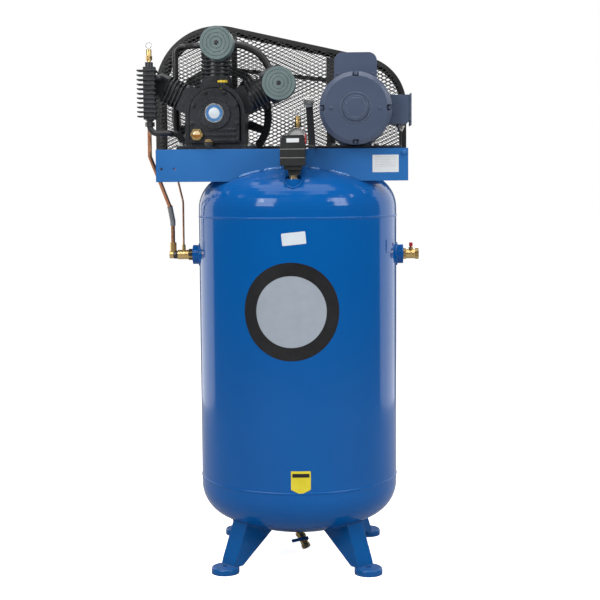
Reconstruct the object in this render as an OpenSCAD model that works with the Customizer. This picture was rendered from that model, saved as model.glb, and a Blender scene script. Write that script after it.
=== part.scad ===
// Vertical tank air compressor: a two stage pump and its motor on a deck over an upright receiver.
// Origin on the floor under the tank's axis, +Z up, the pump's covers and filters face -Y.

/* [Tank] */
// Outer radius of the receiver
tank_r = 305; // [250:1:330]
// Wall thickness of shell and heads
tank_wall = 4.5; // [3:0.5:8]
// Height of the lower weld seam
seam_low = 262; // [240:1:300]
// Height of the upper weld seam
seam_high = 1065; // [1000:1:1100]
// Height of the two side ports
port_z = 946; // [850:1:1000]

/* [Legs] */
// Distance of each anchor hole from the tank's axis
foot_r = 304; // [290:1:330]
// Radius of the rounded foot pads
pad_r = 42; // [36:1:50]
// Radius of the anchor holes
anchor_hole_r = 7; // [5:0.5:9]
// Width of a leg's outer web
leg_w = 64; // [50:1:76]
// Plate thickness of the legs
leg_t = 5; // [4:0.5:8]

/* [Deck] */
// Left end of the deck
deck_x0 = -412; // [-430:1:-400]
// Right end of the deck
deck_x1 = 335; // [330:1:360]
// Front edge of the deck
deck_y0 = -180; // [-190:1:-175]
// Rear edge of the deck
deck_y1 = 75; // [70:1:80]
// Height of the deck's top face
deck_z = 1268; // [1262:1:1275]
// Depth of the deck's side flanges
deck_flange = 96; // [80:1:110]
// Plate thickness of the deck
deck_t = 4; // [3:0.5:6]

/* [Pump] */
// Sideways place of the crankshaft's axis
pump_x = -243; // [-250:1:-238]
// Height of the crankshaft's axis above the deck
crank_h = 109; // [105:1:112]
// Angle between the centre cylinder and each outer one
bank = 63; // [58:1:66]
// Crank throw, half of the stroke
throw = 25; // [20:0.5:26]
// Length of the connecting rods between their eyes
rod_len = 110; // [105:1:112]
// Bore radius of the two low pressure cylinders
low_bore = 32.5; // [30:0.5:33]
// Bore radius of the high pressure cylinder
high_bore = 25; // [22:0.5:27]
// Radius of the intake filter canisters
filter_r = 48.5; // [44:0.5:50]

/* [Drive] */
// Outer radius of the flywheel
flywheel_r = 157; // [150:1:158]
// Outer radius of the motor pulley
pulley_r = 102; // [90:1:104]
// Sideways place of the motor's axis
motor_x = 181; // [176:1:186]
// Height of the motor's axis above the deck
motor_h = 114; // [112:1:118]
// Radius of the motor's body
motor_r = 105; // [98:1:105]

/* [Guard] */
// Depth of the belt guard
guard_d = 160; // [150:1:170]
// Radius of the guard's left crown
guard_left_r = 200; // [196:1:204]
// Radius of the guard's right crown
guard_right_r = 155; // [150:1:158]

/* [Hidden] */

// Torispherical heads: crown and knuckle radii and the straight skirt below them
crown_r = 549;
knuckle_r = 104;
skirt = 25;
crown_drop = sqrt(pow(crown_r - knuckle_r, 2) - pow(tank_r - knuckle_r, 2));
knuckle_turn = acos((tank_r - knuckle_r) / (crown_r - knuckle_r));
tank_top = seam_high + skirt - crown_drop + crown_r;
tank_bottom = seam_low - skirt + crown_drop - crown_r;
bung_r = 30;
pad_h = 20;
bung_out = tank_r + 21;
bung_in = tank_r - 14;

// Pump: heights, the plane of each cylinder and the radial stations of its stack
crank_z = deck_z + crank_h;
case_r = 90;
case_y0 = -100;
case_y1 = 40;
cover_t = 12;
plane_left = -48;
plane_centre = -30;
plane_right = -12;
boss_top = 105;
stack_top = 178;
plate_t = 6;
shaft_r = 15;
bearing_r = 31;
bearing_w = 16;
pin_r = 11;
oil_y = -88;
wrist_r = 8;
crown_h = 38;
skirt_h = 14;
running = 0.05;

// Drive: two vee belts, their pitch in the rims and the plane of the first
rim_y0 = 95;
rim_w = 45;
belt_ys = [rim_y0 + 13, rim_y0 + 32];
belt_drop = 1;
belt_t = 11;
belt_w = 10.4;
motor_z = deck_z + motor_h;
motor_y0 = -232;
motor_y1 = 50;
bell_t = 18;

// Guard: its crowns' centres and its lower edge, which steps up over the tank's dome
guard_y0 = deck_y1;
guard_y1 = guard_y0 + guard_d;
guard_t = 2;
guard_left = [-249, 1458];
guard_right = [184, 1406];
guard_low = 1205;
guard_step = 1246;
guard_ramp = [-215, -20];

// Pressure switch group, in front of the deck
port_y = -258;
switch_y0 = -300;
switch_y1 = -216;
switch_w = 72;
switch_z0 = 1205;
switch_z1 = 1304;
gauge_pos = [8, -195, 1297];
gauge_r = 32;
relief_pos = [11, -187, 1331];
unloader_x = -29;

// Cooler block at the pump's left, in front of the high pressure head
cooler_x0 = -458;
cooler_x1 = -414;
cooler_y = -125;
cooler_z0 = 1359;
cooler_z1 = 1515;

// Routes of the pipes that the compressor holds all the way
lp_line = [
    [-436, cooler_y, cooler_z0 - 4], [-436, cooler_y, 1318], [-375, cooler_y, 1318],
    [-375, 8, 1318], [-375, 8, 1588], [-340, 8, 1588], [-310, -14, 1588], [pump_x - 43, -14, 1588]
];
hp_z = 1484;
hp_line = [[cooler_x1 - 4, cooler_y, hp_z], [-404, cooler_y, hp_z], [-404, plane_left - 37, hp_z]];
cross_x = -120.6;
cross_y = -21;
cross_z = 1589;
cross_reach = (pump_x - cross_x) * cos(bank) + (cross_z - crank_z) * sin(bank) - 51;
crossover = [
    [pump_x + 43, cross_y, cross_z], [cross_x, cross_y, cross_z],
    [cross_x + cross_reach * cos(bank), cross_y, cross_z - cross_reach * sin(bank)]
];
discharge = [
    [-444, plane_left, 1416.5], [-450, plane_left, 1404], [-450, plane_left, 1250],
    [-421, -40, 1172], [-396, -8, 1094], [-389, 0, 1050], [-389, 0, 984]
];
unloader = [
    [-356, 0, 977], [-356, 0, 1110], [-356, -150, 1200], [-356, -150, 1252],
    [unloader_x, -150, 1252], [unloader_x, switch_y1, 1252]
];
cable = [
    [314, -120, 1326], [314, -120, 1272.2], [314, -164, 1272.2], [62, -164, 1272.2],
    [62, -258, 1272.2], [36, -258, 1272.2]
];

function unit(v) = v / norm(v);
function arc(c, r, a0, a1, n) = [for (i = [0:n]) let (a = a0 + (a1 - a0) * i / n) c + r * [cos(a), sin(a)]];
// Wrist pin's distance from the crank axis for a cylinder at angle a, with the crankpin upright
function wrist_at(a) = throw * cos(a) + sqrt(rod_len * rod_len - pow(throw * sin(a), 2));

// A route's points, with its corners rounded in steps
function rounded(points, bend, steps) = [
    for (i = [0:len(points) - 1])
        if (i == 0 || i == len(points) - 1) points[i]
        else let (a = unit(points[i] - points[i - 1]),
            b = unit(points[i + 1] - points[i]),
            turn = acos(a * b),
            centre = points[i] + unit(b - a) * bend / cos(turn / 2),
            side = unit(points[i] - a * bend * tan(turn / 2) - centre))
            for (k = [0:steps]) centre + bend * (cos(turn * k / steps) * side + sin(turn * k / steps) * a)
];

// A tube swept along points; lead is a direction that no stretch runs along
module swept_tube(points, r, sides, lead) {
    n = len(points);
    ring = [for (i = [0:n - 1])
        let (t = unit(points[min(i + 1, n - 1)] - points[max(i - 1, 0)]),
            u = unit(cross(t, lead)),
            v = cross(t, u))
            for (k = [0:sides - 1]) points[i] + r * (cos(360 * k / sides) * u + sin(360 * k / sides) * v)];
    polyhedron(ring, concat(
        [[for (k = [0:sides - 1]) k]],
        [[for (k = [sides - 1:-1:0]) (n - 1) * sides + k]],
        [for (i = [0:n - 2]) for (k = [0:sides - 1]) let (m = (k + 1) % sides)
            [i * sides + k, (i + 1) * sides + k, (i + 1) * sides + m, i * sides + m]]
    ));
}

// A rod along Y, X or Z between two stations
module rod_y(x, z, y0, y1, r, fn = 64) {
    translate([x, y0, z]) rotate([-90, 0, 0]) cylinder(h = y1 - y0, r = r, $fn = fn);
}
module rod_x(y, z, x0, x1, r, fn = 64) {
    translate([x0, y, z]) rotate([0, 90, 0]) cylinder(h = x1 - x0, r = r, $fn = fn);
}
module rod_z(x, y, z0, z1, r, fn = 64) {
    translate([x, y, z0]) cylinder(h = z1 - z0, r = r, $fn = fn);
}

// A flat outline in X and Z, given depth along Y
module slab_y(y0, y1) {
    translate([0, y1, 0]) rotate([90, 0, 0]) linear_extrude(y1 - y0) children();
}

// A box between two corners
module block(a, b) {
    translate(a) cube(b - a);
}

// A square with clipped round corners, for fins and heads
module soft_square(half) {
    intersection() {
        square(2 * half, center = true);
        circle(r = half * 1.26, $fn = 72);
    }
}

// Hexagon bolt with washer, standing on a face; its shank goes down through the joint to a nut
module bolt_z(x, y, face, grip) {
    translate([x, y, face]) {
        difference() {
            cylinder(h = 2, r = 11, $fn = 48);
            translate([0, 0, -1]) cylinder(h = 4, r = 5.1, $fn = 32);
        }
        translate([0, 0, 2]) cylinder(h = 7, r = 9.5, $fn = 6);
        translate([0, 0, -grip - 12]) cylinder(h = grip + 14, r = 5, $fn = 32);
        translate([0, 0, -grip - 9]) difference() {
            cylinder(h = 9, r = 9.5, $fn = 6);
            translate([0, 0, -1]) cylinder(h = 11, r = 5, $fn = 32);
        }
    }
}

// Outer outline of a head in radius and height, from its seam to its crown, grown by a margin
function head_outline(grow) = concat(
    [[tank_r + grow, 0]],
    arc([tank_r - knuckle_r, skirt], knuckle_r + grow, 0, knuckle_turn, 10),
    [for (i = [1:10]) let (a = knuckle_turn + (90 - knuckle_turn) * i / 10)
        [(crown_r + grow) * cos(a), skirt - crown_drop + (crown_r + grow) * sin(a)]]
);

// ---- Receiver ----

module head_solid(grow) {
    rotate_extrude($fn = 180) polygon(concat(head_outline(grow), [[0, 0]]));
}

// The whole outside of the receiver, to cut what is welded against it
module tank_envelope() {
    translate([0, 0, seam_high]) head_solid(0);
    translate([0, 0, seam_low]) mirror([0, 0, 1]) head_solid(0);
    translate([0, 0, seam_low - 1]) cylinder(h = seam_high - seam_low + 2, r = tank_r, $fn = 180);
}

module head_shell() {
    inner = head_outline(-tank_wall);
    rotate_extrude($fn = 180) polygon(concat(head_outline(0), [for (i = [len(inner) - 1:-1:0]) inner[i]]));
}

module tank_shell() {
    color([0.0, 0.36, 0.68]) difference() {
        rod_z(0, 0, seam_low, seam_high, tank_r, 180);
        rod_z(0, 0, seam_low - 1, seam_high + 1, tank_r - tank_wall, 180);
        rod_x(0, port_z, -tank_r - 10, tank_r + 10, bung_r);
    }
}

module tank_head_top() {
    color([0.0, 0.36, 0.68]) difference() {
        translate([0, 0, seam_high]) head_shell();
        rod_z(0, port_y, 1100, 1300, 24);
    }
}

module tank_head_bottom() {
    color([0.0, 0.36, 0.68]) difference() {
        translate([0, 0, seam_low]) mirror([0, 0, 1]) head_shell();
        rod_z(0, 0, 50, 200, 24);
    }
}

module weld_seams() {
    color([0.0, 0.34, 0.64])
        for (z = [seam_low - 0.5, seam_high + 0.5])
            rotate_extrude($fn = 180)
                polygon([[tank_r, z - 4], [tank_r + 1.4, z - 2.6], [tank_r + 2, z],
                    [tank_r + 1.4, z + 2.6], [tank_r, z + 4]]);
}

module tank_bungs() {
    color([0.0, 0.34, 0.64]) {
        for (s = [-1, 1])
            difference() {
                rod_x(0, port_z, s > 0 ? bung_in : -bung_out, s > 0 ? bung_out : -bung_in, bung_r);
                rod_x(0, port_z, -400, 400, 12);
            }
        difference() {
            rod_z(0, port_y, 1150, 1178, 24);
            rod_z(0, port_y, 1140, 1200, 10);
        }
        difference() {
            rod_z(0, 0, 80, 108, 24);
            rod_z(0, 0, 70, 120, 11);
        }
    }
}

// ---- Legs ----

// Side cheek of a leg in radius and height: a straight lower edge from the tank to the pad
cheek = [[246, 178], [246, 140], [288, 34], [292, pad_h - 1], [262, pad_h - 1], [256, pad_h + 3],
    [128, 118], [118, 132], [118, 178]];
web = [[240, 178], [240, 140], [282, 34], [284, pad_h - 1], [292, pad_h - 1], [288, 34], [246, 140], [246, 178]];

module leg(turn) {
    rotate([0, 0, turn]) difference() {
        union() {
            for (s = [-1, 1])
                translate([0, s * (leg_w - leg_t) / 2 + leg_t / 2, 0]) rotate([90, 0, 0])
                    linear_extrude(leg_t) polygon(cheek);
            translate([0, leg_w / 2, 0]) rotate([90, 0, 0]) linear_extrude(leg_w) polygon(web);
            translate([foot_r, 0, 0]) rotate_extrude($fn = 96)
                polygon(concat([[0, 0], [pad_r, 0]], arc([pad_r - 7, pad_h - 7], 7, 0, 90, 6), [[0, pad_h]]));
        }
        rod_z(foot_r, 0, -1, pad_h + 1, anchor_hole_r, 48);
        tank_envelope();
    }
}

module leg_front_left() { color([0.0, 0.36, 0.68]) leg(-135); }
module leg_front_right() { color([0.0, 0.36, 0.68]) leg(-45); }
module leg_rear_left() { color([0.0, 0.36, 0.68]) leg(135); }
module leg_rear_right() { color([0.0, 0.36, 0.68]) leg(45); }

// ---- Deck ----

pump_bolts = [for (x = [-104, 104]) for (y = [-90, 30]) [pump_x + x, y]];
motor_bolts = [for (x = [-64, 64]) for (y = [-130, -20]) [motor_x + x, y]];

module platform() {
    color([0.12, 0.42, 0.74]) difference() {
        union() {
            block([deck_x0, deck_y0, deck_z - deck_t], [deck_x1, deck_y1, deck_z]);
            block([deck_x0, deck_y0, deck_z - deck_flange], [deck_x1, deck_y0 + deck_t, deck_z]);
            block([deck_x0, deck_y1 - deck_t, deck_z - deck_flange], [deck_x1, deck_y1, deck_z]);
        }
        tank_envelope();
        for (x = [deck_x0 + 17, deck_x0 + 55]) rod_y(x, 1210, deck_y0 - 1, deck_y0 + deck_t + 1, 4, 32);
        rod_y(unloader_x, 1252, deck_y0 - 1, deck_y0 + deck_t + 1, 5, 32);
        for (p = concat(pump_bolts, motor_bolts)) rod_z(p[0], p[1], deck_z - 10, deck_z + 1, 5.5, 32);
    }
}

module deck_bolts() {
    color([0.72, 0.73, 0.72]) {
        for (p = pump_bolts) bolt_z(p[0], p[1], deck_z + 12, 12 + deck_t);
        for (p = motor_bolts) bolt_z(p[0], p[1], deck_z + 6, 6 + deck_t);
    }
}

// ---- Pump ----

module on_bank(a, y) {
    translate([pump_x, y, crank_z]) rotate([0, a, 0]) children();
}

module case_outline(half, low) {
    circle(r = half, $fn = 120);
    translate([-half, -low]) square([2 * half, low]);
}

module crankcase() {
    color([0.09, 0.09, 0.10]) difference() {
        union() {
            translate([pump_x, 0, crank_z]) {
                slab_y(case_y0, case_y1) case_outline(case_r, crank_h);
                block([-117, case_y0 - 2, -crank_h], [117, case_y1 + 2, -crank_h + 12]);
                rod_y(0, 0, case_y1 - 1, case_y1 + 18, 38);
            }
            for (b = [[-bank, plane_left], [0, plane_centre], [bank, plane_right]])
                on_bank(b[0], b[1]) block([-42, -42, 50], [42, 42, boss_top]);
            rod_z(pump_x + 23, oil_y, 1440, crank_z + 92, 12);
        }
        translate([pump_x, 0, crank_z]) {
            slab_y(case_y0 - 1, 30) case_outline(78, 84);
            rod_y(0, 0, 29, 30 + bearing_w, bearing_r);
            rod_y(0, 0, 40, 70, 22);
        }
        on_bank(-bank, plane_left) translate([0, 0, 40]) cylinder(h = 80, r = high_bore + 3, $fn = 96);
        on_bank(0, plane_centre) translate([0, 0, 40]) cylinder(h = 80, r = low_bore + 3, $fn = 96);
        on_bank(bank, plane_right) translate([0, 0, 40]) cylinder(h = 80, r = low_bore + 3, $fn = 96);
        rod_z(pump_x + 23, oil_y, 1430, 1480, 9);
        for (p = pump_bolts) rod_z(p[0], p[1], deck_z - 1, deck_z + 20, 5.5, 32);
    }
}

module crankcase_cover() {
    face = case_y0 - cover_t;
    color([0.10, 0.10, 0.11]) translate([pump_x, 0, crank_z]) difference() {
        union() {
            slab_y(face, case_y0) case_outline(75, 88);
            rod_y(0, 0, case_y0 - 1, case_y0 + 20, 38);
            rod_y(0, 0, face - 8, face + 1, 47);
            for (z = [-84, -68, -52])
                block([-30, face - 4, z], [66, face + 1, z + 6]);
            for (a = [20, 65, 115, 160])
                rod_y(68 * cos(a), 68 * sin(a), face - 5, face + 1, 6, 24);
            for (p = [[-68, -30], [68, -30], [68, -78]])
                rod_y(p[0], p[1], face - 5, face + 1, 6, 24);
        }
        rod_y(0, 0, case_y0 + 4, case_y0 + 21, bearing_r);
        rod_y(0, 0, face - 9, face - 5, 29);
    }
}

module sight_glass() {
    color([0.78, 0.60, 0.28]) translate([pump_x - 53, case_y0 - cover_t, crank_z - 64]) {
        difference() {
            rod_y(0, 0, -14, 0, 19, 6);
            rod_y(0, 0, -15, -8, 12, 48);
        }
        rod_y(0, 0, -12, -8, 12, 48);
    }
}

module oil_drain() {
    color([0.75, 0.58, 0.28]) translate([pump_x - 11, 0, crank_z - 90]) {
        rod_y(0, 0, -178, case_y0 - cover_t - 4, 8, 32);
        rod_y(0, 0, -196, -178, 11, 6);
    }
}

module oil_cap() {
    color([0.93, 0.74, 0.10]) {
        rod_z(pump_x + 23, oil_y, crank_z + 92.3, crank_z + 99, 15, 48);
        rod_z(pump_x + 23, oil_y, crank_z + 74, crank_z + 93, 9 - running, 48);
    }
}

// A finned cylinder barrel with its foot flange
module barrel(bore, half) {
    difference() {
        union() {
            translate([0, 0, boss_top]) cylinder(h = stack_top - boss_top, r = bore + 7, $fn = 96);
            translate([0, 0, boss_top]) linear_extrude(9) soft_square(42);
            for (i = [1:5]) translate([0, 0, boss_top + 4 + i * 11.8]) linear_extrude(3.6) soft_square(half);
            translate([0, 0, stack_top - 5]) linear_extrude(5) soft_square(half - 2);
        }
        translate([0, 0, boss_top - 1]) cylinder(h = stack_top - boss_top + 2, r = bore, $fn = 96);
    }
}

module cylinder_centre() {
    color([0.09, 0.09, 0.10]) on_bank(0, plane_centre) barrel(low_bore, 45);
}
module cylinder_left() {
    color([0.09, 0.09, 0.10]) on_bank(-bank, plane_left) barrel(high_bore, 41);
}
module cylinder_right() {
    color([0.09, 0.09, 0.10]) on_bank(bank, plane_right) barrel(low_bore, 52);
}

// A valve head: plate, chamber and cooling fins, with its four bolts
module valve_head(half, top) {
    linear_z = stack_top + plate_t;
    translate([0, 0, stack_top]) linear_extrude(plate_t) soft_square(half);
    difference() {
        translate([0, 0, linear_z]) linear_extrude(top - linear_z - 14) soft_square(half - 1);
        translate([0, 0, linear_z - 1]) linear_extrude(18) square([half, half], center = true);
    }
    for (i = [-3:3])
        translate([i * half / 3.6 - 2, -half + 3, top - 15]) cube([4, 2 * half - 6, 15]);
    for (x = [-1, 1]) for (y = [-1, 1])
        translate([x * (half - 10), y * (half - 10), top - 15]) cylinder(h = 9, r = 7, $fn = 6);
}

module head_centre() {
    color([0.09, 0.09, 0.10]) on_bank(0, plane_centre) valve_head(44, 243);
}
module head_left() {
    color([0.09, 0.09, 0.10]) on_bank(-bank, plane_left) valve_head(38, 217);
}
module head_right() {
    color([0.09, 0.09, 0.10]) on_bank(bank, plane_right) valve_head(52, 236);
}

// A drum filter on its neck, facing forward
module filter(x, z, neck_end) {
    rod_y(x, z, -142, neck_end, 15, 48);
    difference() {
        rod_y(x, z, -200, -140, filter_r, 120);
        for (r = [16, 27, 38])
            difference() {
                rod_y(x, z, -201, -198, r + 2.2, 96);
                rod_y(x, z, -202, -197, r, 96);
            }
        rod_y(x, z, -201, -196, 7, 32);
    }
}

module intake_filters() {
    color([0.45, 0.52, 0.53]) {
        filter(pump_x + 17, 1578, plane_centre - 43);
        filter(-44, 1459, plane_right - 51);
    }
}

module air_pipes() {
    color([0.07, 0.07, 0.08]) {
        swept_tube(rounded(crossover, 110, 10), 11, 20, [0, 1, 0]);
        swept_tube(rounded(lp_line, 22, 6), 9, 18, [1, -1, 0.3]);
        swept_tube(rounded(hp_line, 12, 6), 9, 18, [0, 0, 1]);
    }
}

module intercooler() {
    mid = (cooler_x0 + cooler_x1) / 2;
    color([0.10, 0.10, 0.11]) {
        difference() {
            union() {
                block([cooler_x0 + 6, cooler_y - 18, cooler_z0], [cooler_x1 - 4, cooler_y + 18, cooler_z1]);
                for (i = [0:10])
                    block([cooler_x0 - 12, cooler_y - 25, cooler_z0 + 7 + i * 13.6],
                        [cooler_x1, cooler_y + 25, cooler_z0 + 11 + i * 13.6]);
                rod_z(mid, cooler_y, cooler_z1 - 1, cooler_z1 + 14, 12, 48);
            }
            rod_x(cooler_y, hp_z, cooler_x1 - 4, cooler_x1 + 1, 9, 32);
        }
        rod_z(-436, cooler_y, cooler_z0 - 4, cooler_z0, 13, 6);
    }
}

// A spring loaded relief valve body, with a slot for the ring's spindle
module relief_body(p) {
    translate(p) difference() {
        union() {
            cylinder(h = 12, r = 10, $fn = 6);
            translate([0, 0, 12]) cylinder(h = 20, r = 8, $fn = 48);
            translate([0, 0, -6]) cylinder(h = 7, r = 6, $fn = 32);
        }
        translate([0, 0, 6]) cylinder(h = 30, r = 2.6, $fn = 32);
    }
}

// The spindle and pull ring of a relief valve
module relief_ring(p) {
    translate(p) {
        translate([0, 0, 8]) cylinder(h = 29, r = 2.2, $fn = 32);
        translate([0, 0, 44.5]) rotate([90, 0, 0]) rotate_extrude($fn = 72) translate([8.5, 0]) circle(r = 1.3, $fn = 24);
    }
}

module relief_valves() {
    color([0.80, 0.62, 0.28]) {
        relief_body([(cooler_x0 + cooler_x1) / 2, cooler_y, cooler_z1 + 20]);
        relief_body(relief_pos);
    }
}
module interstage_ring() {
    color([0.78, 0.78, 0.76]) relief_ring([(cooler_x0 + cooler_x1) / 2, cooler_y, cooler_z1 + 20]);
}
module safety_ring() {
    color([0.78, 0.78, 0.76]) relief_ring(relief_pos);
}

// ---- Running gear ----

module crank_web(y0, y1) {
    rod_y(0, throw, y0, y1, 20);
    slab_y(y0, y1) {
        intersection() {
            circle(r = 52, $fn = 96);
            translate([-60, -60]) square([120, 52]);
        }
        translate([-20, -10]) square([40, throw + 10]);
    }
}

module crankshaft() {
    color([0.55, 0.56, 0.58]) translate([pump_x, 0, crank_z]) {
        rod_y(0, 0, case_y0 + 5, -70, shaft_r);
        crank_web(-70, -58);
        rod_y(0, throw, -59, -1, pin_r);
        crank_web(-2, 10);
        rod_y(0, 0, 9, rim_y0 + rim_w + 8, shaft_r);
        rod_y(0, 0, rim_y0 + rim_w + 8, rim_y0 + rim_w + 18, 20, 6);
    }
}

module bearing_ring(y0) {
    difference() {
        rod_y(0, 0, y0, y0 + bearing_w, bearing_r);
        rod_y(0, 0, y0 - 1, y0 + bearing_w + 1, shaft_r + running);
        for (y = [y0 - 1, y0 + bearing_w - 2])
            difference() {
                rod_y(0, 0, y, y + 3, 26);
                rod_y(0, 0, y - 1, y + 4, 20);
            }
    }
}

module main_bearings() {
    color([0.70, 0.71, 0.73]) translate([pump_x, 0, crank_z]) {
        bearing_ring(case_y0 + 4);
        bearing_ring(30);
        difference() {
            rod_y(0, 0, 48, 58, 22);
            rod_y(0, 0, 47, 59, shaft_r + running);
        }
    }
}

// A rod from the upright crankpin to the wrist pin of the cylinder at angle a
module rod(a, y) {
    wrist = wrist_at(a) * [sin(a), cos(a)];
    lean = atan2(wrist[0], wrist[1] - throw);
    translate([pump_x, y, crank_z + throw]) rotate([0, lean, 0]) difference() {
        union() {
            rod_y(0, 0, -8, 8, 19);
            rod_y(0, rod_len, -8, 8, 13.5);
            block([-7, -6, 12], [7, 6, rod_len - 8]);
        }
        rod_y(0, 0, -9, 9, pin_r + running);
        rod_y(0, rod_len, -9, 9, wrist_r + running);
    }
}

module connecting_rods() {
    color([0.68, 0.69, 0.70]) {
        rod(-bank, plane_left);
        rod(0, plane_centre);
        rod(bank, plane_right);
    }
}

// A hollow piston with its wrist pin and two rings, its pin at height 0
module piston(bore) {
    difference() {
        translate([0, 0, -skirt_h]) cylinder(h = skirt_h + crown_h, r = bore - 0.08, $fn = 96);
        difference() {
            translate([0, 0, -skirt_h - 1]) cylinder(h = skirt_h + crown_h - 8, r = bore - 5, $fn = 96);
            for (s = [-1, 1])
                rod_y(0, 0, s > 0 ? 10 : -bore, s > 0 ? bore : -10, wrist_r + 4.5, 48);
        }
        rod_y(0, 0, -bore - 1, bore + 1, wrist_r, 48);
        for (z = [20, 28])
            translate([0, 0, z]) difference() {
                cylinder(h = 3, r = bore + 1, $fn = 96);
                translate([0, 0, -1]) cylinder(h = 5, r = bore - 3, $fn = 96);
            }
    }
    rod_y(0, 0, -bore + 3, bore - 3, wrist_r, 48);
    for (z = [20, 28])
        translate([0, 0, z]) difference() {
            cylinder(h = 3, r = bore - 0.03, $fn = 96);
            translate([0, 0, -1]) cylinder(h = 5, r = bore - 3, $fn = 96);
        }
}

module piston_centre() {
    color([0.75, 0.76, 0.78]) on_bank(0, plane_centre) translate([0, 0, wrist_at(0)]) piston(low_bore);
}
module piston_left() {
    color([0.75, 0.76, 0.78]) on_bank(-bank, plane_left) translate([0, 0, wrist_at(bank)]) piston(high_bore);
}
module piston_right() {
    color([0.75, 0.76, 0.78]) on_bank(bank, plane_right) translate([0, 0, wrist_at(bank)]) piston(low_bore);
}

// ---- Belt drive ----

// A rim's section between an inner radius and its grooved edge, along the wheel's width
function rim_section(r, inner) = concat(
    [[inner, 0], [inner, rim_w], [r, rim_w]],
    [for (i = [1:-1:0]) let (c = belt_ys[i] - rim_y0)
        each [[r, c + 8.2], [r - 14, c + 5.2], [r - 14, c - 5.2], [r, c - 8.2]]],
    [[r, 0]]
);

module grooved_rim(r, inner) {
    translate([0, rim_y0, 0]) rotate([-90, 0, 0]) rotate_extrude($fn = 144) polygon(rim_section(r, inner));
}

module flywheel() {
    color([0.08, 0.08, 0.09]) translate([pump_x, 0, crank_z]) {
        grooved_rim(flywheel_r, 136);
        difference() {
            union() {
                rod_y(0, 0, rim_y0, rim_y0 + rim_w, 34);
                for (i = [0:4])
                    rotate([0, i * 72 + 36, 0]) block([-13, rim_y0 + 12, 25], [13, rim_y0 + 33, 137]);
            }
            rod_y(0, 0, rim_y0 - 1, rim_y0 + rim_w + 1, shaft_r);
        }
    }
}

module motor_pulley() {
    color([0.12, 0.12, 0.13]) translate([motor_x, 0, motor_z]) {
        grooved_rim(pulley_r, 82);
        difference() {
            union() {
                rod_y(0, 0, rim_y0, rim_y0 + rim_w, 28);
                rod_y(0, 0, rim_y0 + 16, rim_y0 + 28, 83);
            }
            rod_y(0, 0, rim_y0 - 1, rim_y0 + rim_w + 1, 12);
            for (i = [0:4]) rotate([0, i * 72, 0]) rod_y(0, 54, rim_y0, rim_y0 + rim_w, 15, 48);
        }
    }
}

// The loop of a belt round both wheels, as a flat outline, drawn in from the rims by a depth
function belt_loop(depth) =
    let (big = flywheel_r - depth,
        small = pulley_r - depth,
        run = [motor_x - pump_x, motor_z - crank_z],
        heading = atan2(run[1], run[0]),
        spread = acos((big - small) / norm(run)))
    concat(
        arc([pump_x, crank_z], big, heading + spread, heading + 360 - spread, 60),
        arc([motor_x, motor_z], small, heading - spread, heading + spread, 50)
    );

module drive_belts() {
    color([0.06, 0.06, 0.06]) for (y = belt_ys)
        difference() {
            slab_y(y - belt_w / 2, y + belt_w / 2) polygon(belt_loop(belt_drop));
            slab_y(y - belt_w, y + belt_w) polygon(belt_loop(belt_drop + belt_t));
        }
}

// ---- Motor ----

module motor_shell() {
    color([0.30, 0.36, 0.48]) difference() {
        union() {
            rod_y(motor_x, motor_z, motor_y0, motor_y1, motor_r, 144);
            block([motor_x - 76, -142, deck_z], [motor_x + 76, -8, deck_z + 6]);
            for (y = [-118, -56])
                block([motor_x - 48, y, deck_z + 5], [motor_x + 48, y + 24, motor_z - 80]);
        }
        rod_y(motor_x, motor_z, motor_y0 - 1, motor_y1 + 1, motor_r - 8, 144);
        for (p = motor_bolts) rod_z(p[0], p[1], deck_z - 1, deck_z + 7, 5.5, 32);
    }
}

// An end bell, built outward along Y from the shell's mouth, with four through-bolt notches
module end_bell() {
    difference() {
        union() {
            rod_y(0, 0, 0, 10, motor_r, 144);
            translate([0, 10, 0]) rotate([-90, 0, 0]) cylinder(h = bell_t - 10, r1 = motor_r, r2 = motor_r - 12, $fn = 144);
            rod_y(0, 0, bell_t - 1, bell_t + 4, 36, 96);
            rod_y(0, 0, -24, 1, 34, 96);
        }
        rod_y(0, 0, -25, -6, 20 + running, 96);
        for (a = [0:90:270]) rotate([0, a, 0]) block([-9, 6, motor_r - 15], [9, bell_t + 1, motor_r + 1]);
    }
}

module motor_end_bells() {
    color([0.31, 0.37, 0.49]) {
        translate([motor_x, motor_y0, motor_z]) mirror([0, 1, 0]) end_bell();
        translate([motor_x, motor_y1, motor_z]) difference() {
            end_bell();
            rod_y(0, 0, -30, 40, 12 + running);
        }
        for (x = [-70, 70])
            rod_y(motor_x + x, motor_z, motor_y0 - bell_t - 3, motor_y0 - bell_t + 1, 4.5, 6);
    }
}

module motor_stator() {
    color([0.45, 0.30, 0.20]) difference() {
        rod_y(motor_x, motor_z, -175, -15, motor_r - 8, 144);
        rod_y(motor_x, motor_z, -176, -14, 60, 120);
    }
}

module motor_rotor() {
    color([0.62, 0.62, 0.64]) {
        rod_y(motor_x, motor_z, -170, -20, 59.4, 120);
        rod_y(motor_x, motor_z, motor_y0 + 7, rim_y0 + rim_w + 2, 12);
        for (y = [motor_y0 + 7, motor_y1 - 20]) rod_y(motor_x, motor_z, y, y + 12, 20);
    }
}

module capacitor_cover() {
    top = 1544;
    color([0.31, 0.37, 0.49]) difference() {
        slab_y(-214, -62) translate([motor_x, 0]) {
            translate([-62, motor_z + 60]) square([124, top - motor_z - 85]);
            translate([-37, motor_z + 60]) square([74, top - motor_z - 60]);
            for (s = [-1, 1]) translate([s * 37, top - 25]) circle(r = 25, $fn = 64);
        }
        rod_y(motor_x, motor_z, -215, -61, motor_r, 144);
        slab_y(-210, -66) translate([motor_x - 56, motor_z + 60]) square([112, top - motor_z - 88]);
    }
}

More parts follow.
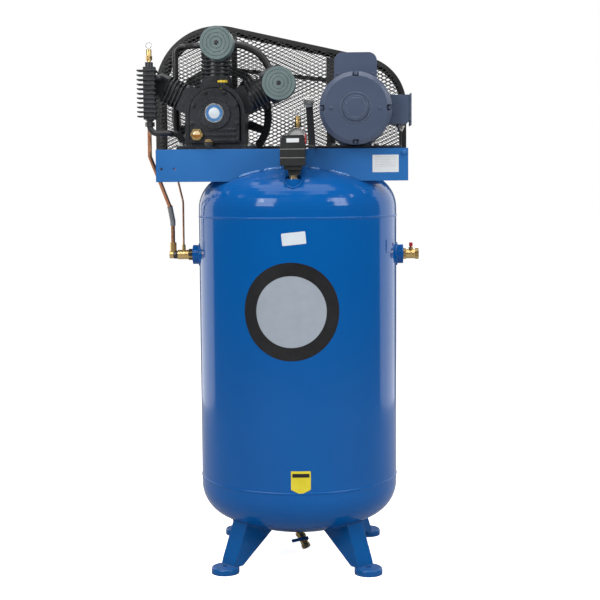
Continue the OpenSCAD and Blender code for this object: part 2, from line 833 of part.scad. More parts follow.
module terminal_box() {
    color([0.31, 0.37, 0.49]) {
        difference() {
            slab_y(-196, -92) polygon([[264, 1350], [272, 1338], [330, 1338], [340, 1348],
                [340, 1422], [264, 1422]]);
            rod_y(motor_x, motor_z, -197, -91, motor_r, 144);
            block([292, -192, 1343], [341, -96, 1417]);
            rod_z(314, -120, 1330, 1345, 9, 48);
        }
        difference() {
            block([340, -200, 1334], [344, -88, 1426]);
            block([339, -150, 1400], [341, -138, 1412]);
        }
    }
}

module motor_cable() {
    color([0.05, 0.05, 0.05]) {
        difference() {
            union() {
                rod_z(314, -120, 1338 - 14, 1342, 9, 48);
                rod_z(314, -120, 1338 - 8, 1338, 13, 6);
            }
            rod_z(314, -120, 1318, 1326, 4, 32);
        }
        swept_tube(rounded(cable, 12, 5), 4, 10, [1, -1, 0.3]);
    }
}

// ---- Belt guard ----

function guard_outline(inset) =
    let (run = guard_right - guard_left,
        tilt = atan2(run[1], run[0]) + acos((guard_left_r - guard_right_r) / norm(run)))
    concat(
        arc(guard_left, guard_left_r - inset, 180, tilt, 36),
        arc(guard_right, guard_right_r - inset, tilt, 0, 30),
        [[guard_right[0] + guard_right_r - inset, guard_step + inset],
            [guard_ramp[1] + inset / 4, guard_step + inset], [guard_ramp[0] + inset / 4, guard_low + inset],
            [guard_left[0] - guard_left_r + inset, guard_low + inset]]
    );

module guard_rim() {
    color([0.05, 0.05, 0.05]) {
        difference() {
            slab_y(guard_y0, guard_y1) polygon(guard_outline(0));
            slab_y(guard_y0 - 1, guard_y1 + 1) polygon(guard_outline(guard_t));
        }
    }
}

module guard_panels() {
    color([0.08, 0.08, 0.08]) {
        difference() {
            slab_y(guard_y0, guard_y0 + 2) polygon(guard_outline(guard_t));
            rod_y(pump_x, crank_z, guard_y0 - 1, guard_y0 + 3, 46, 96);
            rod_y(motor_x, motor_z, guard_y0 - 1, guard_y0 + 3, 40, 96);
        }
        slab_y(guard_y1 - 2, guard_y1) polygon(guard_outline(guard_t));
    }
}

module guard_bracket() {
    color([0.07, 0.07, 0.07]) {
        block([90, guard_y0 + 2, guard_step + guard_t], [117, guard_y0 + 5, 1556]);
        block([-208, guard_y0 + 2, 1224], [-190, guard_y0 + 5, 1640]);
        difference() {
            translate([45, 0, 0]) slab_y(66, 70) polygon([[-11, deck_z], [11, deck_z], [0, 1432], [-22, 1432]]);
            rod_y(34, 1417, 60, 75, 5, 32);
        }
        block([20, 40, deck_z], [66, 70, deck_z + 4]);
        rod_y(34, 1417, 62, 66, 16, 48);
        rod_y(34, 1417, 56, 62, 9, 6);
        rod_y(34, 1417, 66, guard_y0, 5, 32);
        block([-150, deck_y1 - 12, deck_z], [10, deck_y1, deck_z + 14]);
    }
}

// ---- Pressure switch group ----

module switch_base() {
    color([0.10, 0.10, 0.11]) difference() {
        union() {
            block([-36, switch_y0, switch_z0 + 12], [36, switch_y1, 1264]);
            block([-26, switch_y0 + 10, switch_z0], [26, switch_y1 - 6, switch_z0 + 13]);
        }
        block([-33, switch_y0 + 3, switch_z0 + 15], [33, switch_y1 - 3, 1265]);
        rod_x(-258, 1245, -40, -30, 11, 48);
    }
    color([0.80, 0.62, 0.28]) {
        translate([-3, 0, 0]) rotate([90, 0, 90]) linear_extrude(23)
            polygon([[-272, 1190], [-240, 1190], [-212, 1203], [-183, 1214], [-183, 1228],
                [-214, 1228], [-214, 1211], [-221, switch_z0], [-272, switch_z0]]);
        translate([-14, 0, 0]) rotate([90, 0, 90]) linear_extrude(12)
            polygon([[-272, 1190], [-240, 1190], [-236, 1192], [-236, switch_z0], [-272, switch_z0]]);
        rod_z(0, port_y, 1160, 1190, 10, 48);
        difference() {
            rod_z(gauge_pos[0], -204, 1226, gauge_pos[2], 5, 32);
            rod_y(gauge_pos[0], gauge_pos[2], -230, -190, gauge_r, 120);
        }
        rod_z(relief_pos[0], relief_pos[1], 1226, relief_pos[2] - 6, 4.5, 32);
    }
}

module switch_cap() {
    color([0.08, 0.08, 0.09]) difference() {
        union() {
            block([-35, switch_y0 + 1, 1264], [35, switch_y1 - 1, 1297]);
            block([-31, switch_y0 + 5, 1296], [31, switch_y1 - 5, switch_z1]);
        }
        block([-32, switch_y0 + 4, 1263], [32, switch_y1 - 4, 1294]);
        block([30, -262.5, 1263], [36, -253.5, 1278]);
    }
}

module switch_lever() {
    color([0.75, 0.12, 0.10]) translate([0, -285, 1285]) {
        rod_x(0, 0, 35.3, 39, 6, 48);
        block([36, -3, 0], [39, 3, 22]);
    }
}

module pressure_gauge() {
    x = gauge_pos[0];
    z = gauge_pos[2];
    color([0.80, 0.80, 0.80]) {
        difference() {
            rod_y(x, z, -213, -195, gauge_r, 120);
            rod_y(x, z, -214, -199, gauge_r - 2.5, 120);
        }
        rod_y(x, z, -203.5, -199, gauge_r - 2.5, 120);
        rod_y(x, z, -212, -210, gauge_r - 2.5, 120);
        rod_y(x, z, -205, -203, 1.5, 24);
    }
}

module gauge_needle() {
    color([0.08, 0.08, 0.08]) translate([gauge_pos[0], 0, gauge_pos[2]]) {
        rod_y(0, 0, -206.6, -205.4, 3.6, 32);
        rotate([0, -135, 0]) slab_y(-206.6, -205.4) polygon([[-1.6, -7], [1.6, -7], [0.4, 23], [-0.4, 23]]);
    }
}

// ---- Ports and tubes ----

module check_valve() {
    color([0.76, 0.58, 0.28]) difference() {
        union() {
            rod_x(0, port_z, -bung_out - 14, -bung_out + 12, 12);
            rod_x(0, port_z, -bung_out - 14, -bung_out, 18, 6);
            rod_x(0, port_z, -374, -bung_out - 13, 15);
            rod_x(0, port_z, -400, -373, 12, 48);
            rod_z(-389, 0, port_z, 984, 10.5, 6);
            rod_z(-356, 0, port_z + 10, 977, 6, 6);
        }
        rod_x(0, port_z, -366, -346, 9);
        rod_x(0, port_z, -347, -300, 5);
        rod_x(0, port_z, -389, -365, 5);
        rod_z(-389, 0, port_z, 990, 5, 48);
    }
}

module check_disc() {
    color([0.85, 0.85, 0.82]) rod_x(0, port_z, -365.7, -362.7, 8.7);
}

module copper_tubes() {
    color([0.72, 0.42, 0.28]) {
        swept_tube(rounded(discharge, 26, 5), 6.35, 14, [1, -1, 0.3]);
        swept_tube(rounded(unloader, 20, 6), 3.1, 10, [1, -1, 0.3]);
    }
    color([0.20, 0.20, 0.21]) on_bank(-bank, plane_left)
        translate([-38, 0, 197]) rotate([0, -90, 0]) cylinder(h = 18, r = 12, $fn = 6);
}

// A quarter-turn valve body along Z from 0 to length, its stem leaving along -X
module ball_body(length, r, ball, way) {
    difference() {
        union() {
            cylinder(h = length, r = r, $fn = 72);
            cylinder(h = 9, r = r + 2, $fn = 6);
            translate([0, 0, length - 11]) cylinder(h = 11, r = r + 2, $fn = 6);
            translate([0, 0, length / 2]) rotate([0, -90, 0]) cylinder(h = r + 5, r = 7, $fn = 48);
        }
        translate([0, 0, length / 2]) sphere(r = ball + 0.3, $fn = 72);
        translate([0, 0, -1]) cylinder(h = length + 2, r = way, $fn = 48);
        translate([0, 0, length / 2]) rotate([0, -90, 0]) cylinder(h = r + 6, r = 3.5 + running, $fn = 48);
    }
}

// The ball and stem that turn in it; the ball's way lies along X or Z of the valve
module ball_stem(length, r, ball, way, shut) {
    translate([0, 0, length / 2]) {
        difference() {
            sphere(r = ball, $fn = 72);
            rotate([shut ? 90 : 0, 0, 0]) translate([0, 0, -ball - 1]) cylinder(h = 2 * ball + 2, r = way, $fn = 48);
        }
        rotate([0, -90, 0]) translate([0, 0, way + 1.5]) cylinder(h = r + 9 - way, r = 3.5, $fn = 48);
    }
}

module at_outlet() {
    translate([bung_out, 0, port_z]) rotate([0, 90, 0]) children();
}
module at_drain() {
    translate([4, -5, 58]) rotate([0, 140, -50]) children();
}

module outlet_valve() {
    color([0.78, 0.60, 0.30]) at_outlet() {
        difference() {
            ball_body(48, 15, 10, 6.5);
            translate([0, 0, 34]) cylinder(h = 15, r = 10.5, $fn = 64);
        }
        translate([0, 0, -12]) difference() {
            cylinder(h = 12, r = 12, $fn = 64);
            translate([0, 0, -1]) cylinder(h = 14, r = 6.5, $fn = 48);
        }
    }
}

module outlet_handle() {
    color([0.75, 0.10, 0.10]) at_outlet() {
        ball_stem(48, 15, 10, 6.5, true);
        translate([-26, -15, 19]) cube([3, 30, 10]);
        for (s = [-1, 1]) translate([-34, s * 13 - 2, 19]) cube([9, 4, 10]);
    }
}

module drain_valve() {
    color([0.78, 0.60, 0.30]) {
        difference() {
            union() {
                rod_z(0, 0, 56, 82, 11, 48);
                translate([0, 0, 60]) sphere(r = 14, $fn = 64);
            }
            rod_z(0, 0, 62, 100, 6, 32);
            at_drain() cylinder(h = 60, r = 20, $fn = 48);
        }
        at_drain() difference() {
            ball_body(44, 12, 8.5, 5);
            translate([0, 0, 34]) cylinder(h = 12, r = 8, $fn = 48);
        }
    }
}

module drain_handle() {
    color([0.10, 0.35, 0.70]) at_drain() {
        ball_stem(44, 12, 8.5, 5, true);
        translate([-21, -58, 17]) cube([2.5, 64, 10]);
    }
}

tank_shell();
tank_head_top();
tank_head_bottom();
weld_seams();
leg_front_left();
leg_front_right();
leg_rear_left();
leg_rear_right();
tank_bungs();
platform();
deck_bolts();
crankcase();
crankcase_cover();
sight_glass();
oil_drain();
oil_cap();
cylinder_centre();
cylinder_left();
cylinder_right();
head_centre();
head_left();
head_right();
intake_filters();
air_pipes();
intercooler();
relief_valves();
interstage_ring();
crankshaft();
main_bearings();
connecting_rods();
piston_centre();
piston_left();
piston_right();
flywheel();
drive_belts();
motor_pulley();
motor_shell();
motor_end_bells();
motor_stator();
motor_rotor();
capacitor_cover();
terminal_box();
motor_cable();
guard_rim();
guard_panels();
guard_bracket();
switch_base();
switch_cap();
switch_lever();
pressure_gauge();
gauge_needle();
safety_ring();
check_valve();
check_disc();
copper_tubes();
outlet_valve();
outlet_handle();
drain_valve();
drain_handle();
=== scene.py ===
# A vertical tank air compressor: a two stage pump and its motor on a deck over an upright receiver.
# Metres, with the origin on the floor under the tank's axis; the pump's covers and filters face -Y.
import bpy
import numpy as np
from math import pi, radians
from mathutils import Matrix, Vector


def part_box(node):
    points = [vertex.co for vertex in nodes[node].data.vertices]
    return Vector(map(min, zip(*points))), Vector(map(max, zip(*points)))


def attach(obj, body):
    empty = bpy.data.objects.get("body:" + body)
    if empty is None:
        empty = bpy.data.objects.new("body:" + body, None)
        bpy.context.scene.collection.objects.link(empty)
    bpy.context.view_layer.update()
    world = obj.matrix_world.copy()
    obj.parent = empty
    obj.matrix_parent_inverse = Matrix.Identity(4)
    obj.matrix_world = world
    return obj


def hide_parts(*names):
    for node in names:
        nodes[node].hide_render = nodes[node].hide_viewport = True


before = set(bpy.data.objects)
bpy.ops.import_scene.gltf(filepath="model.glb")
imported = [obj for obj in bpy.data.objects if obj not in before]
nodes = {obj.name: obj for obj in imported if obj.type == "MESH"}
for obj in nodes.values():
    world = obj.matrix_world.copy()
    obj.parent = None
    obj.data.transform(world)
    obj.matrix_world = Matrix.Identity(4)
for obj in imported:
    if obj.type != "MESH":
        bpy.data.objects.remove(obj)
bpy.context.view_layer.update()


# ---- Camera ----
# A still camera four metres in front of the machine, at about the height of its shoulders.
# It looks slightly down and to the left, and stands level to within half a degree.
lens = bpy.data.cameras.new("camera")
lens.lens = 77.4
lens.shift_y = -0.025
lens.clip_end = 100
camera = bpy.data.objects.new("camera", lens)
bpy.context.scene.collection.objects.link(camera)
camera.matrix_world = (
    Matrix.Translation((0.182, -4.0, 1.182))
    @ Matrix.Rotation(0.044, 4, "Z")
    @ Matrix.Rotation(radians(90 - 4.75), 4, "X")
    @ Matrix.Rotation(-0.007, 4, "Z")
)
bpy.context.scene.camera = camera


# ---- Motor lead ----
# A black rubber lead from the motor's terminal box, down to the deck and along it to the pressure
# switch. A nickelled gland under the box holds its upper end.
def new_group(name, inputs, outputs):
    """A node group with its float inputs and named outputs, and its two end nodes."""
    group = bpy.data.node_groups.new(name, "ShaderNodeTree")
    for socket, value in inputs.items():
        made = group.interface.new_socket(socket, in_out="INPUT", socket_type="NodeSocketFloat")
        made.default_value = value
    for socket, kind in outputs.items():
        group.interface.new_socket(socket, in_out="OUTPUT", socket_type=kind)
    return group, group.nodes.new("NodeGroupInput"), group.nodes.new("NodeGroupOutput")


def edge_group():
    """Rounded normals at hard edges, and a mask of where a handled edge loses its paint:
    how far the rounded normal leans away from the face, broken up by a fine noise."""
    group, given, out = new_group(
        "worn_edge",
        {"Radius": 0.001, "Scale": 60.0},
        {"Normal": "NodeSocketVector", "Mask": "NodeSocketFloat"},
    )
    new, link = group.nodes.new, group.links.new
    rounded_edge, face = new("ShaderNodeBevel"), new("ShaderNodeNewGeometry")
    lean, place, noise = new("ShaderNodeVectorMath"), new("ShaderNodeTexCoord"), new("ShaderNodeTexNoise")
    away, broken = new("ShaderNodeMapRange"), new("ShaderNodeMapRange")
    both = new("ShaderNodeMath")
    rounded_edge.samples = 4
    lean.operation = "DOT_PRODUCT"
    both.operation = "MULTIPLY"
    noise.inputs["Detail"].default_value = 6
    away.inputs["From Min"].default_value = 0.985
    away.inputs["From Max"].default_value = 0.90
    broken.inputs["From Min"].default_value = 0.46
    broken.inputs["From Max"].default_value = 0.62
    link(given.outputs["Radius"], rounded_edge.inputs["Radius"])
    link(rounded_edge.outputs["Normal"], lean.inputs[0])
    link(face.outputs["Normal"], lean.inputs[1])
    link(lean.outputs["Value"], away.inputs["Value"])
    link(place.outputs["Object"], noise.inputs["Vector"])
    link(given.outputs["Scale"], noise.inputs["Scale"])
    link(noise.outputs["Fac"], broken.inputs["Value"])
    link(away.outputs["Result"], both.inputs[0])
    link(broken.outputs["Result"], both.inputs[1])
    link(rounded_edge.outputs["Normal"], out.inputs["Normal"])
    link(both.outputs["Value"], out.inputs["Mask"])
    return group


def grain_group():
    """A surface's fine relief and its slow drift in tone: a fine noise plus half of one three times
    as coarse gives the height, and a noise of the given cloud scale gives the tone."""
    group, given, out = new_group(
        "surface_grain",
        {"Grain": 700.0, "Cloud": 5.0},
        {"Height": "NodeSocketFloat", "Tone": "NodeSocketFloat"},
    )
    new, link = group.nodes.new, group.links.new
    place = new("ShaderNodeTexCoord")
    fine, coarse, cloud = (new("ShaderNodeTexNoise") for _ in range(3))
    third, add, tone = new("ShaderNodeMath"), new("ShaderNodeMath"), new("ShaderNodeMapRange")
    third.operation = "MULTIPLY"
    third.inputs[1].default_value = 0.33
    add.operation = "MULTIPLY_ADD"
    add.inputs[1].default_value = 0.5
    for noise in (fine, coarse, cloud):
        link(place.outputs["Object"], noise.inputs["Vector"])
    fine.inputs["Detail"].default_value = 3
    cloud.inputs["Detail"].default_value = 5
    tone.inputs["From Min"].default_value = 0.3
    tone.inputs["From Max"].default_value = 0.7
    link(given.outputs["Grain"], fine.inputs["Scale"])
    link(given.outputs["Grain"], third.inputs[0])
    link(third.outputs["Value"], coarse.inputs["Scale"])
    link(given.outputs["Cloud"], cloud.inputs["Scale"])
    link(coarse.outputs["Fac"], add.inputs[0])
    link(fine.outputs["Fac"], add.inputs[2])
    link(add.outputs["Value"], out.inputs["Height"])
    link(cloud.outputs["Fac"], tone.inputs["Value"])
    link(tone.outputs["Result"], out.inputs["Tone"])
    return group


def dust_group():
    """Where dust settles: faces that look up, in patches."""
    group, given, out = new_group("settled_dust", {"Amount": 0.2}, {"Mask": "NodeSocketFloat"})
    new, link = group.nodes.new, group.links.new
    face, split, up = new("ShaderNodeNewGeometry"), new("ShaderNodeSeparateXYZ"), new("ShaderNodeMapRange")
    place, noise = new("ShaderNodeTexCoord"), new("ShaderNodeTexNoise")
    patch, mask = new("ShaderNodeMath"), new("ShaderNodeMath")
    up.inputs["From Min"].default_value = 0.5
    noise.inputs["Scale"].default_value = 22
    noise.inputs["Detail"].default_value = 6
    for part in (patch, mask):
        part.operation = "MULTIPLY"
    link(face.outputs["Normal"], split.inputs["Vector"])
    link(split.outputs["Z"], up.inputs["Value"])
    link(place.outputs["Object"], noise.inputs["Vector"])
    link(up.outputs["Result"], patch.inputs[0])
    link(noise.outputs["Fac"], patch.inputs[1])
    link(patch.outputs["Value"], mask.inputs[0])
    link(given.outputs["Amount"], mask.inputs[1])
    link(mask.outputs["Value"], out.inputs["Mask"])
    return group


worn_edge, surface_grain, settled_dust = edge_group(), grain_group(), dust_group()


def finish(name, tones, rough, metallic=0.0, coat=0.0, grain=700, relief=0.00002, cloud=5,
           edge=0.0008, worn=None, dust=0.0, gloss=0.5):
    """A material whose colour drifts between two tones, whose roughness follows its grain,
    and whose edges catch the light; worn is the colour under the paint at rubbed edges."""
    made = bpy.data.materials.new(name)
    made.use_nodes = True
    tree = made.node_tree
    new, link = tree.nodes.new, tree.links.new
    shader = tree.nodes["Principled BSDF"]
    shader.inputs["Metallic"].default_value = metallic
    shader.inputs["Coat Weight"].default_value = coat
    shader.inputs["Coat Roughness"].default_value = 0.06
    shader.inputs["Specular IOR Level"].default_value = gloss
    edges, skin, film = (new("ShaderNodeGroup") for _ in range(3))
    edges.node_tree, skin.node_tree, film.node_tree = worn_edge, surface_grain, settled_dust
    edges.inputs["Radius"].default_value = edge
    skin.inputs["Grain"].default_value = grain
    skin.inputs["Cloud"].default_value = cloud
    film.inputs["Amount"].default_value = dust
    colour, rub, dusty = (new("ShaderNodeMix") for _ in range(3))
    for mix in (colour, rub, dusty):
        mix.data_type = "RGBA"
    colour.inputs["A"].default_value = (*tones[0], 1)
    colour.inputs["B"].default_value = (*tones[1], 1)
    rub.inputs["B"].default_value = (*(worn or tones[1]), 1)
    dusty.inputs["B"].default_value = (0.50, 0.49, 0.46, 1)
    sheen, bump = new("ShaderNodeMapRange"), new("ShaderNodeBump")
    sheen.inputs["From Min"].default_value = 0.5
    sheen.inputs["From Max"].default_value = 1.0
    sheen.inputs["To Min"].default_value = rough[0]
    sheen.inputs["To Max"].default_value = rough[1]
    bump.inputs["Distance"].default_value = relief
    link(skin.outputs["Tone"], colour.inputs["Factor"])
    link(colour.outputs["Result"], rub.inputs["A"])
    link(edges.outputs["Mask"], rub.inputs["Factor"])
    link(rub.outputs["Result"], dusty.inputs["A"])
    link(film.outputs["Mask"], dusty.inputs["Factor"])
    link(dusty.outputs["Result"], shader.inputs["Base Color"])
    link(skin.outputs["Height"], sheen.inputs["Value"])
    link(sheen.outputs["Result"], shader.inputs["Roughness"])
    link(skin.outputs["Height"], bump.inputs["Height"])
    link(edges.outputs["Normal"], bump.inputs["Normal"])
    link(bump.outputs["Normal"], shader.inputs["Normal"])
    return made


def dress(material, *names):
    """Gives CAD nodes their material."""
    for name in names:
        for place in nodes[name].material_slots:
            place.material = material


def piece(name, verts, faces, material, slot, body="frame", smooth=35):
    """A new piece from arrays of points and faces, shaded smooth below an angle, riding on a body."""
    mesh = bpy.data.meshes.new(name)
    mesh.from_pydata(np.asarray(verts, float).tolist(), [], [list(map(int, face)) for face in faces])
    mesh.validate()
    mesh.polygons.foreach_set("use_smooth", [smooth > 0] * len(mesh.polygons))
    if smooth:
        mesh.set_sharp_from_angle(angle=radians(smooth))
    mesh.materials.append(material)
    made = bpy.data.objects.new(name, mesh)
    bpy.context.scene.collection.objects.link(made)
    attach(made, body)
    return made


def grid_faces(rows, columns, ring=True):
    """Quads of a grid of rows by columns; each row closes on itself when ring is true."""
    row, column = np.meshgrid(np.arange(rows - 1), np.arange(columns if ring else columns - 1), indexing="ij")
    a = row * columns + column
    b = row * columns + (column + 1) % columns
    return np.stack([a, b, b + columns, a + columns], -1).reshape(-1, 4)


def joined(parts):
    """Several sets of points and faces as one set."""
    verts, faces, start = [], [], 0
    for points, quads in parts:
        verts.append(np.asarray(points, float).reshape(-1, 3))
        faces += [tuple(int(i) + start for i in face) for face in quads]
        start += len(verts[-1])
    return np.concatenate(verts), faces


def unit(v):
    return v / np.linalg.norm(v, axis=-1, keepdims=True)


def rounded(points, bend, steps=8):
    """A route whose corners are replaced by arcs of radius bend, tangent to both stretches."""
    points = np.asarray(points, float)
    route = [points[:1]]
    for before, corner, after in zip(points[:-2], points[1:-1], points[2:]):
        a, b = unit(corner - before), unit(after - corner)
        half = np.arccos(np.clip(a @ b, -1, 1)) / 2
        centre = corner + unit(b - a) * bend / np.cos(half)
        side = unit(corner - a * bend * np.tan(half) - centre)
        turn = np.linspace(0, 2 * half, steps + 1)[:, None]
        route.append(centre + bend * (np.cos(turn) * side + np.sin(turn) * a))
    route.append(points[-1:])
    return np.concatenate(route)


def lathe(profile, centre, axis, sides=64, turn=0.0):
    """A surface of revolution: each profile pair is a radius and a station along the axis.
    Six sides and a turn make it a hexagon; both ends are closed with a flat face."""
    profile = np.asarray(profile, float)
    axis = unit(np.asarray(axis, float))
    across = unit(np.cross(axis, [0.31, 0.17, 0.94] if abs(axis[2]) < 0.9 else [0, 1, 0]))
    up = np.cross(axis, across)
    angle = turn + np.arange(sides) * 2 * pi / sides
    spoke = np.cos(angle)[:, None] * across + np.sin(angle)[:, None] * up
    verts = np.asarray(centre) + profile[:, 1, None, None] * axis + profile[:, 0, None, None] * spoke
    last = (len(profile) - 1) * sides
    faces = [tuple(face) for face in grid_faces(len(profile), sides)]
    faces += [tuple(range(sides))[::-1], tuple(range(last, last + sides))]
    return verts.reshape(-1, 3), faces


lead_r = 0.004
lead_bend = 0.012
lead_points = np.array([
    [314, -120, 1326], [314, -120, 1272.2], [314, -164, 1272.2], [62, -164, 1272.2],
    [62, -258, 1272.2], [36, -258, 1272.2]
]) / 1000
lead_route = rounded(lead_points, lead_bend)
rubber = finish("rubber", [(0.012, 0.012, 0.013), (0.022, 0.022, 0.023)], (0.5, 0.7),
                grain=1500, relief=0.00003, dust=0.15)

line = bpy.data.curves.new("motor_lead", "CURVE")
line.dimensions = "3D"
line.bevel_depth = lead_r
line.bevel_resolution = 5
line.use_fill_caps = True
spline = line.splines.new("POLY")
spline.points.add(len(lead_route) - 1)
spline.points.foreach_set("co", np.hstack([lead_route, np.ones((len(lead_route), 1))]).ravel())
spline.use_smooth = True
line.materials.append(rubber)
lead = bpy.data.objects.new("motor_lead", line)
bpy.context.scene.collection.objects.link(lead)
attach(lead, "frame")

nickel = finish("nickel", [(0.42, 0.41, 0.39), (0.55, 0.54, 0.51)], (0.22, 0.34), metallic=1.0,
                grain=900, relief=0.00001)
upward, forward = (0, 0, 1), (0, -1, 0)
gland_at = (0.314, -0.120, 1.338)
gland_barrel = [(0.0088, -0.014), (0.0090, -0.013), (0.0090, 0.003), (0.0088, 0.004)]
gland_nut = [(0.0118, -0.0082), (0.0130, -0.0074), (0.0130, -0.0008), (0.0118, 0)]
gland_mouth = [(0.0052, -0.020), (0.0062, -0.019), (0.0085, -0.0135), (0.0085, -0.012)]
gland = piece("lead_gland", *joined([
    lathe(gland_barrel, gland_at, upward),
    lathe(gland_nut, gland_at, upward, 6),
    lathe(gland_mouth, gland_at, upward),
]), nickel, "zinc")
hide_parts("motor_cable")
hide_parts("motor_cable")


# ---- Studio ----
# A plain pale floor that runs out to a pale surround, lit by large soft panels: one at each side in
# front, a wide one behind each side, one at the back, a ceiling, and rows of narrow tubes overhead.
def panel(name, place, aim, size, watts):
    """An area light of width and height, at a place, facing a point."""
    lamp = bpy.data.lights.new(name, "AREA")
    lamp.shape = "RECTANGLE"
    lamp.size, lamp.size_y = size
    lamp.energy = watts
    made = bpy.data.objects.new(name, lamp)
    made.location = place
    made.visible_camera = False
    towards = np.asarray(aim, float) - np.asarray(place, float)
    level = np.hypot(towards[0], towards[1])
    made.rotation_euler = (np.arctan2(level, -towards[2]), 0, np.arctan2(-towards[0], towards[1]))
    bpy.context.scene.collection.objects.link(made)


floor_paint = bpy.data.materials.new("floor_paint")
floor_paint.use_nodes = True
floor_tree = floor_paint.node_tree
floor_shader = floor_tree.nodes["Principled BSDF"]
floor_shader.inputs["Roughness"].default_value = 0.7
floor_shader.inputs["Emission Color"].default_value = (1, 1, 1, 1)
glow = floor_tree.nodes.new("ShaderNodeMath")
glow.operation = "MULTIPLY"
glow.inputs[1].default_value = 0.86
bounce = floor_tree.nodes.new("ShaderNodeMix")
bounce.data_type = "RGBA"
bounce.inputs["A"].default_value = (0.42, 0.42, 0.43, 1)
bounce.inputs["B"].default_value = (0.93, 0.93, 0.93, 1)
seen = floor_tree.nodes.new("ShaderNodeLightPath")
floor_tree.links.new(seen.outputs["Is Camera Ray"], glow.inputs[0])
floor_tree.links.new(glow.outputs["Value"], floor_shader.inputs["Emission Strength"])
floor_tree.links.new(seen.outputs["Is Camera Ray"], bounce.inputs["Factor"])
floor_tree.links.new(bounce.outputs["Result"], floor_shader.inputs["Base Color"])
floor_half = 30
floor_corners = [(x * floor_half, y * floor_half, 0) for x, y in ((-1, -1), (1, -1), (1, 1), (-1, 1))]
floor_mesh = bpy.data.meshes.new("floor")
floor_mesh.from_pydata(floor_corners, [], [(0, 1, 2, 3)])
floor_mesh.materials.append(floor_paint)
floor = bpy.data.objects.new("floor", floor_mesh)
bpy.context.scene.collection.objects.link(floor)

surround = bpy.data.worlds.new("surround")
surround.use_nodes = True
air = surround.node_tree
sky = air.nodes["Background"]
sky.inputs["Color"].default_value = (0.97, 0.98, 1.0, 1)
sky.inputs["Strength"].default_value = 0.22
white_sky = air.nodes.new("ShaderNodeBackground")
ray = air.nodes.new("ShaderNodeLightPath")
choose = air.nodes.new("ShaderNodeMixShader")
white_sky.inputs["Color"].default_value = (1, 1, 1, 1)
white_sky.inputs["Strength"].default_value = 1.0
air.links.new(ray.outputs["Is Camera Ray"], choose.inputs["Fac"])
air.links.new(sky.outputs["Background"], choose.inputs[1])
air.links.new(white_sky.outputs["Background"], choose.inputs[2])
air.links.new(choose.outputs["Shader"], air.nodes["World Output"].inputs["Surface"])
bpy.context.scene.world = surround
bpy.context.scene.view_settings.view_transform = "Standard"

tank_middle = (0, 0, 0.9)
panel("front_left", (-2.2, -3.2, 2.6), tank_middle, (1.5, 1.9), 70)
panel("front_right", (3.0, -2.3, 2.6), tank_middle, (1.1, 1.9), 60)
panel("side_left", (-2.1, 1.7, 1.2), tank_middle, (2.2, 2.8), 26)
panel("side_right", (2.1, 1.7, 1.2), tank_middle, (2.2, 2.8), 26)
panel("panel_rear", (0.2, 3.6, 3.0), tank_middle, (2.0, 1.2), 40)
panel("ceiling", (0, -0.8, 5.2), (0, -0.6, 0), (5.0, 4.0), 150)
tube_z, tube_size, tube_watts = 4.6, (0.9, 0.36), 16
tube_places = [(1.0, -3.0), (1.0, -5.0), (1.0, -7.2), (4.7, -1.2), (4.7, -3.2), (4.7, -5.2)]
for side in (-1, 1):
    for row, (x, y) in enumerate(tube_places):
        panel(f"tube_{side + 1}_{row}", (side * x, y, tube_z), (side * x, y, 0), tube_size, tube_watts)


# ---- Receiver ----
# Rolled and welded steel under glossy blue enamel: a shell, two dished heads, and threaded bungs
# for the ports. The welds round the shell and the bungs stand a little proud, in fine ripples.
tank_r = float(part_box("tank_shell")[1][0])
seam_low, seam_high = (float(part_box("tank_shell")[i][2]) for i in (0, 1))
port_z = float(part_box("check_disc")[0][2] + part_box("check_disc")[1][2]) / 2
crown_r, knuckle_r, skirt = 0.549, 0.104, 0.025
crown_drop = float(np.sqrt((crown_r - knuckle_r) ** 2 - (tank_r - knuckle_r) ** 2))
knuckle_at = float((tank_r - knuckle_r) / (crown_r - knuckle_r)) * crown_r


def head_rise(r):
    """Height of a dished head over its seam at a radius: the crown's sphere inside, the knuckle outside."""
    r = np.asarray(r, float)
    crown = skirt - crown_drop + np.sqrt(crown_r ** 2 - np.minimum(r, crown_r) ** 2)
    knuckle = skirt + np.sqrt(np.maximum(knuckle_r ** 2 - (r - tank_r + knuckle_r) ** 2, 0))
    return np.where(r < knuckle_at, crown, knuckle)


def bead(route, r, pitch=0.0032, ripple=0.16, sides=10):
    """A weld bead: a tube along a route whose radius swells and shrinks once a pitch. Both ends close."""
    route = np.asarray(route, float)
    step = np.linalg.norm(np.diff(route, axis=0), axis=1)
    along = np.concatenate([[0], np.cumsum(step)])
    count = max(int(along[-1] / pitch * 5), 8)
    s = np.linspace(0, along[-1], count)
    path = np.stack([np.interp(s, along, route[:, i]) for i in range(3)], -1)
    ahead = unit(np.gradient(path, axis=0))
    side = unit(np.cross(ahead, [0.13, 0.21, 0.97] if abs(ahead[0][2]) < 0.9 else [1, 0.2, 0.1]))
    up = np.cross(ahead, side)
    swell = r * (1 - ripple + ripple * np.abs(np.sin(pi * s / pitch)))
    swell *= np.clip(np.minimum(s, s[-1] - s) / (1.5 * r) + 0.05, 0, 1) ** 0.5
    angle = np.arange(sides) * 2 * pi / sides
    ring = np.cos(angle)[None, :, None] * side[:, None] + np.sin(angle)[None, :, None] * up[:, None]
    verts = path[:, None] + swell[:, None, None] * ring
    last = (count - 1) * sides
    faces = [tuple(face)[::-1] for face in grid_faces(count, sides)]
    faces += [tuple(range(sides)), tuple(range(last, last + sides))[::-1]]
    return verts.reshape(-1, 3), faces


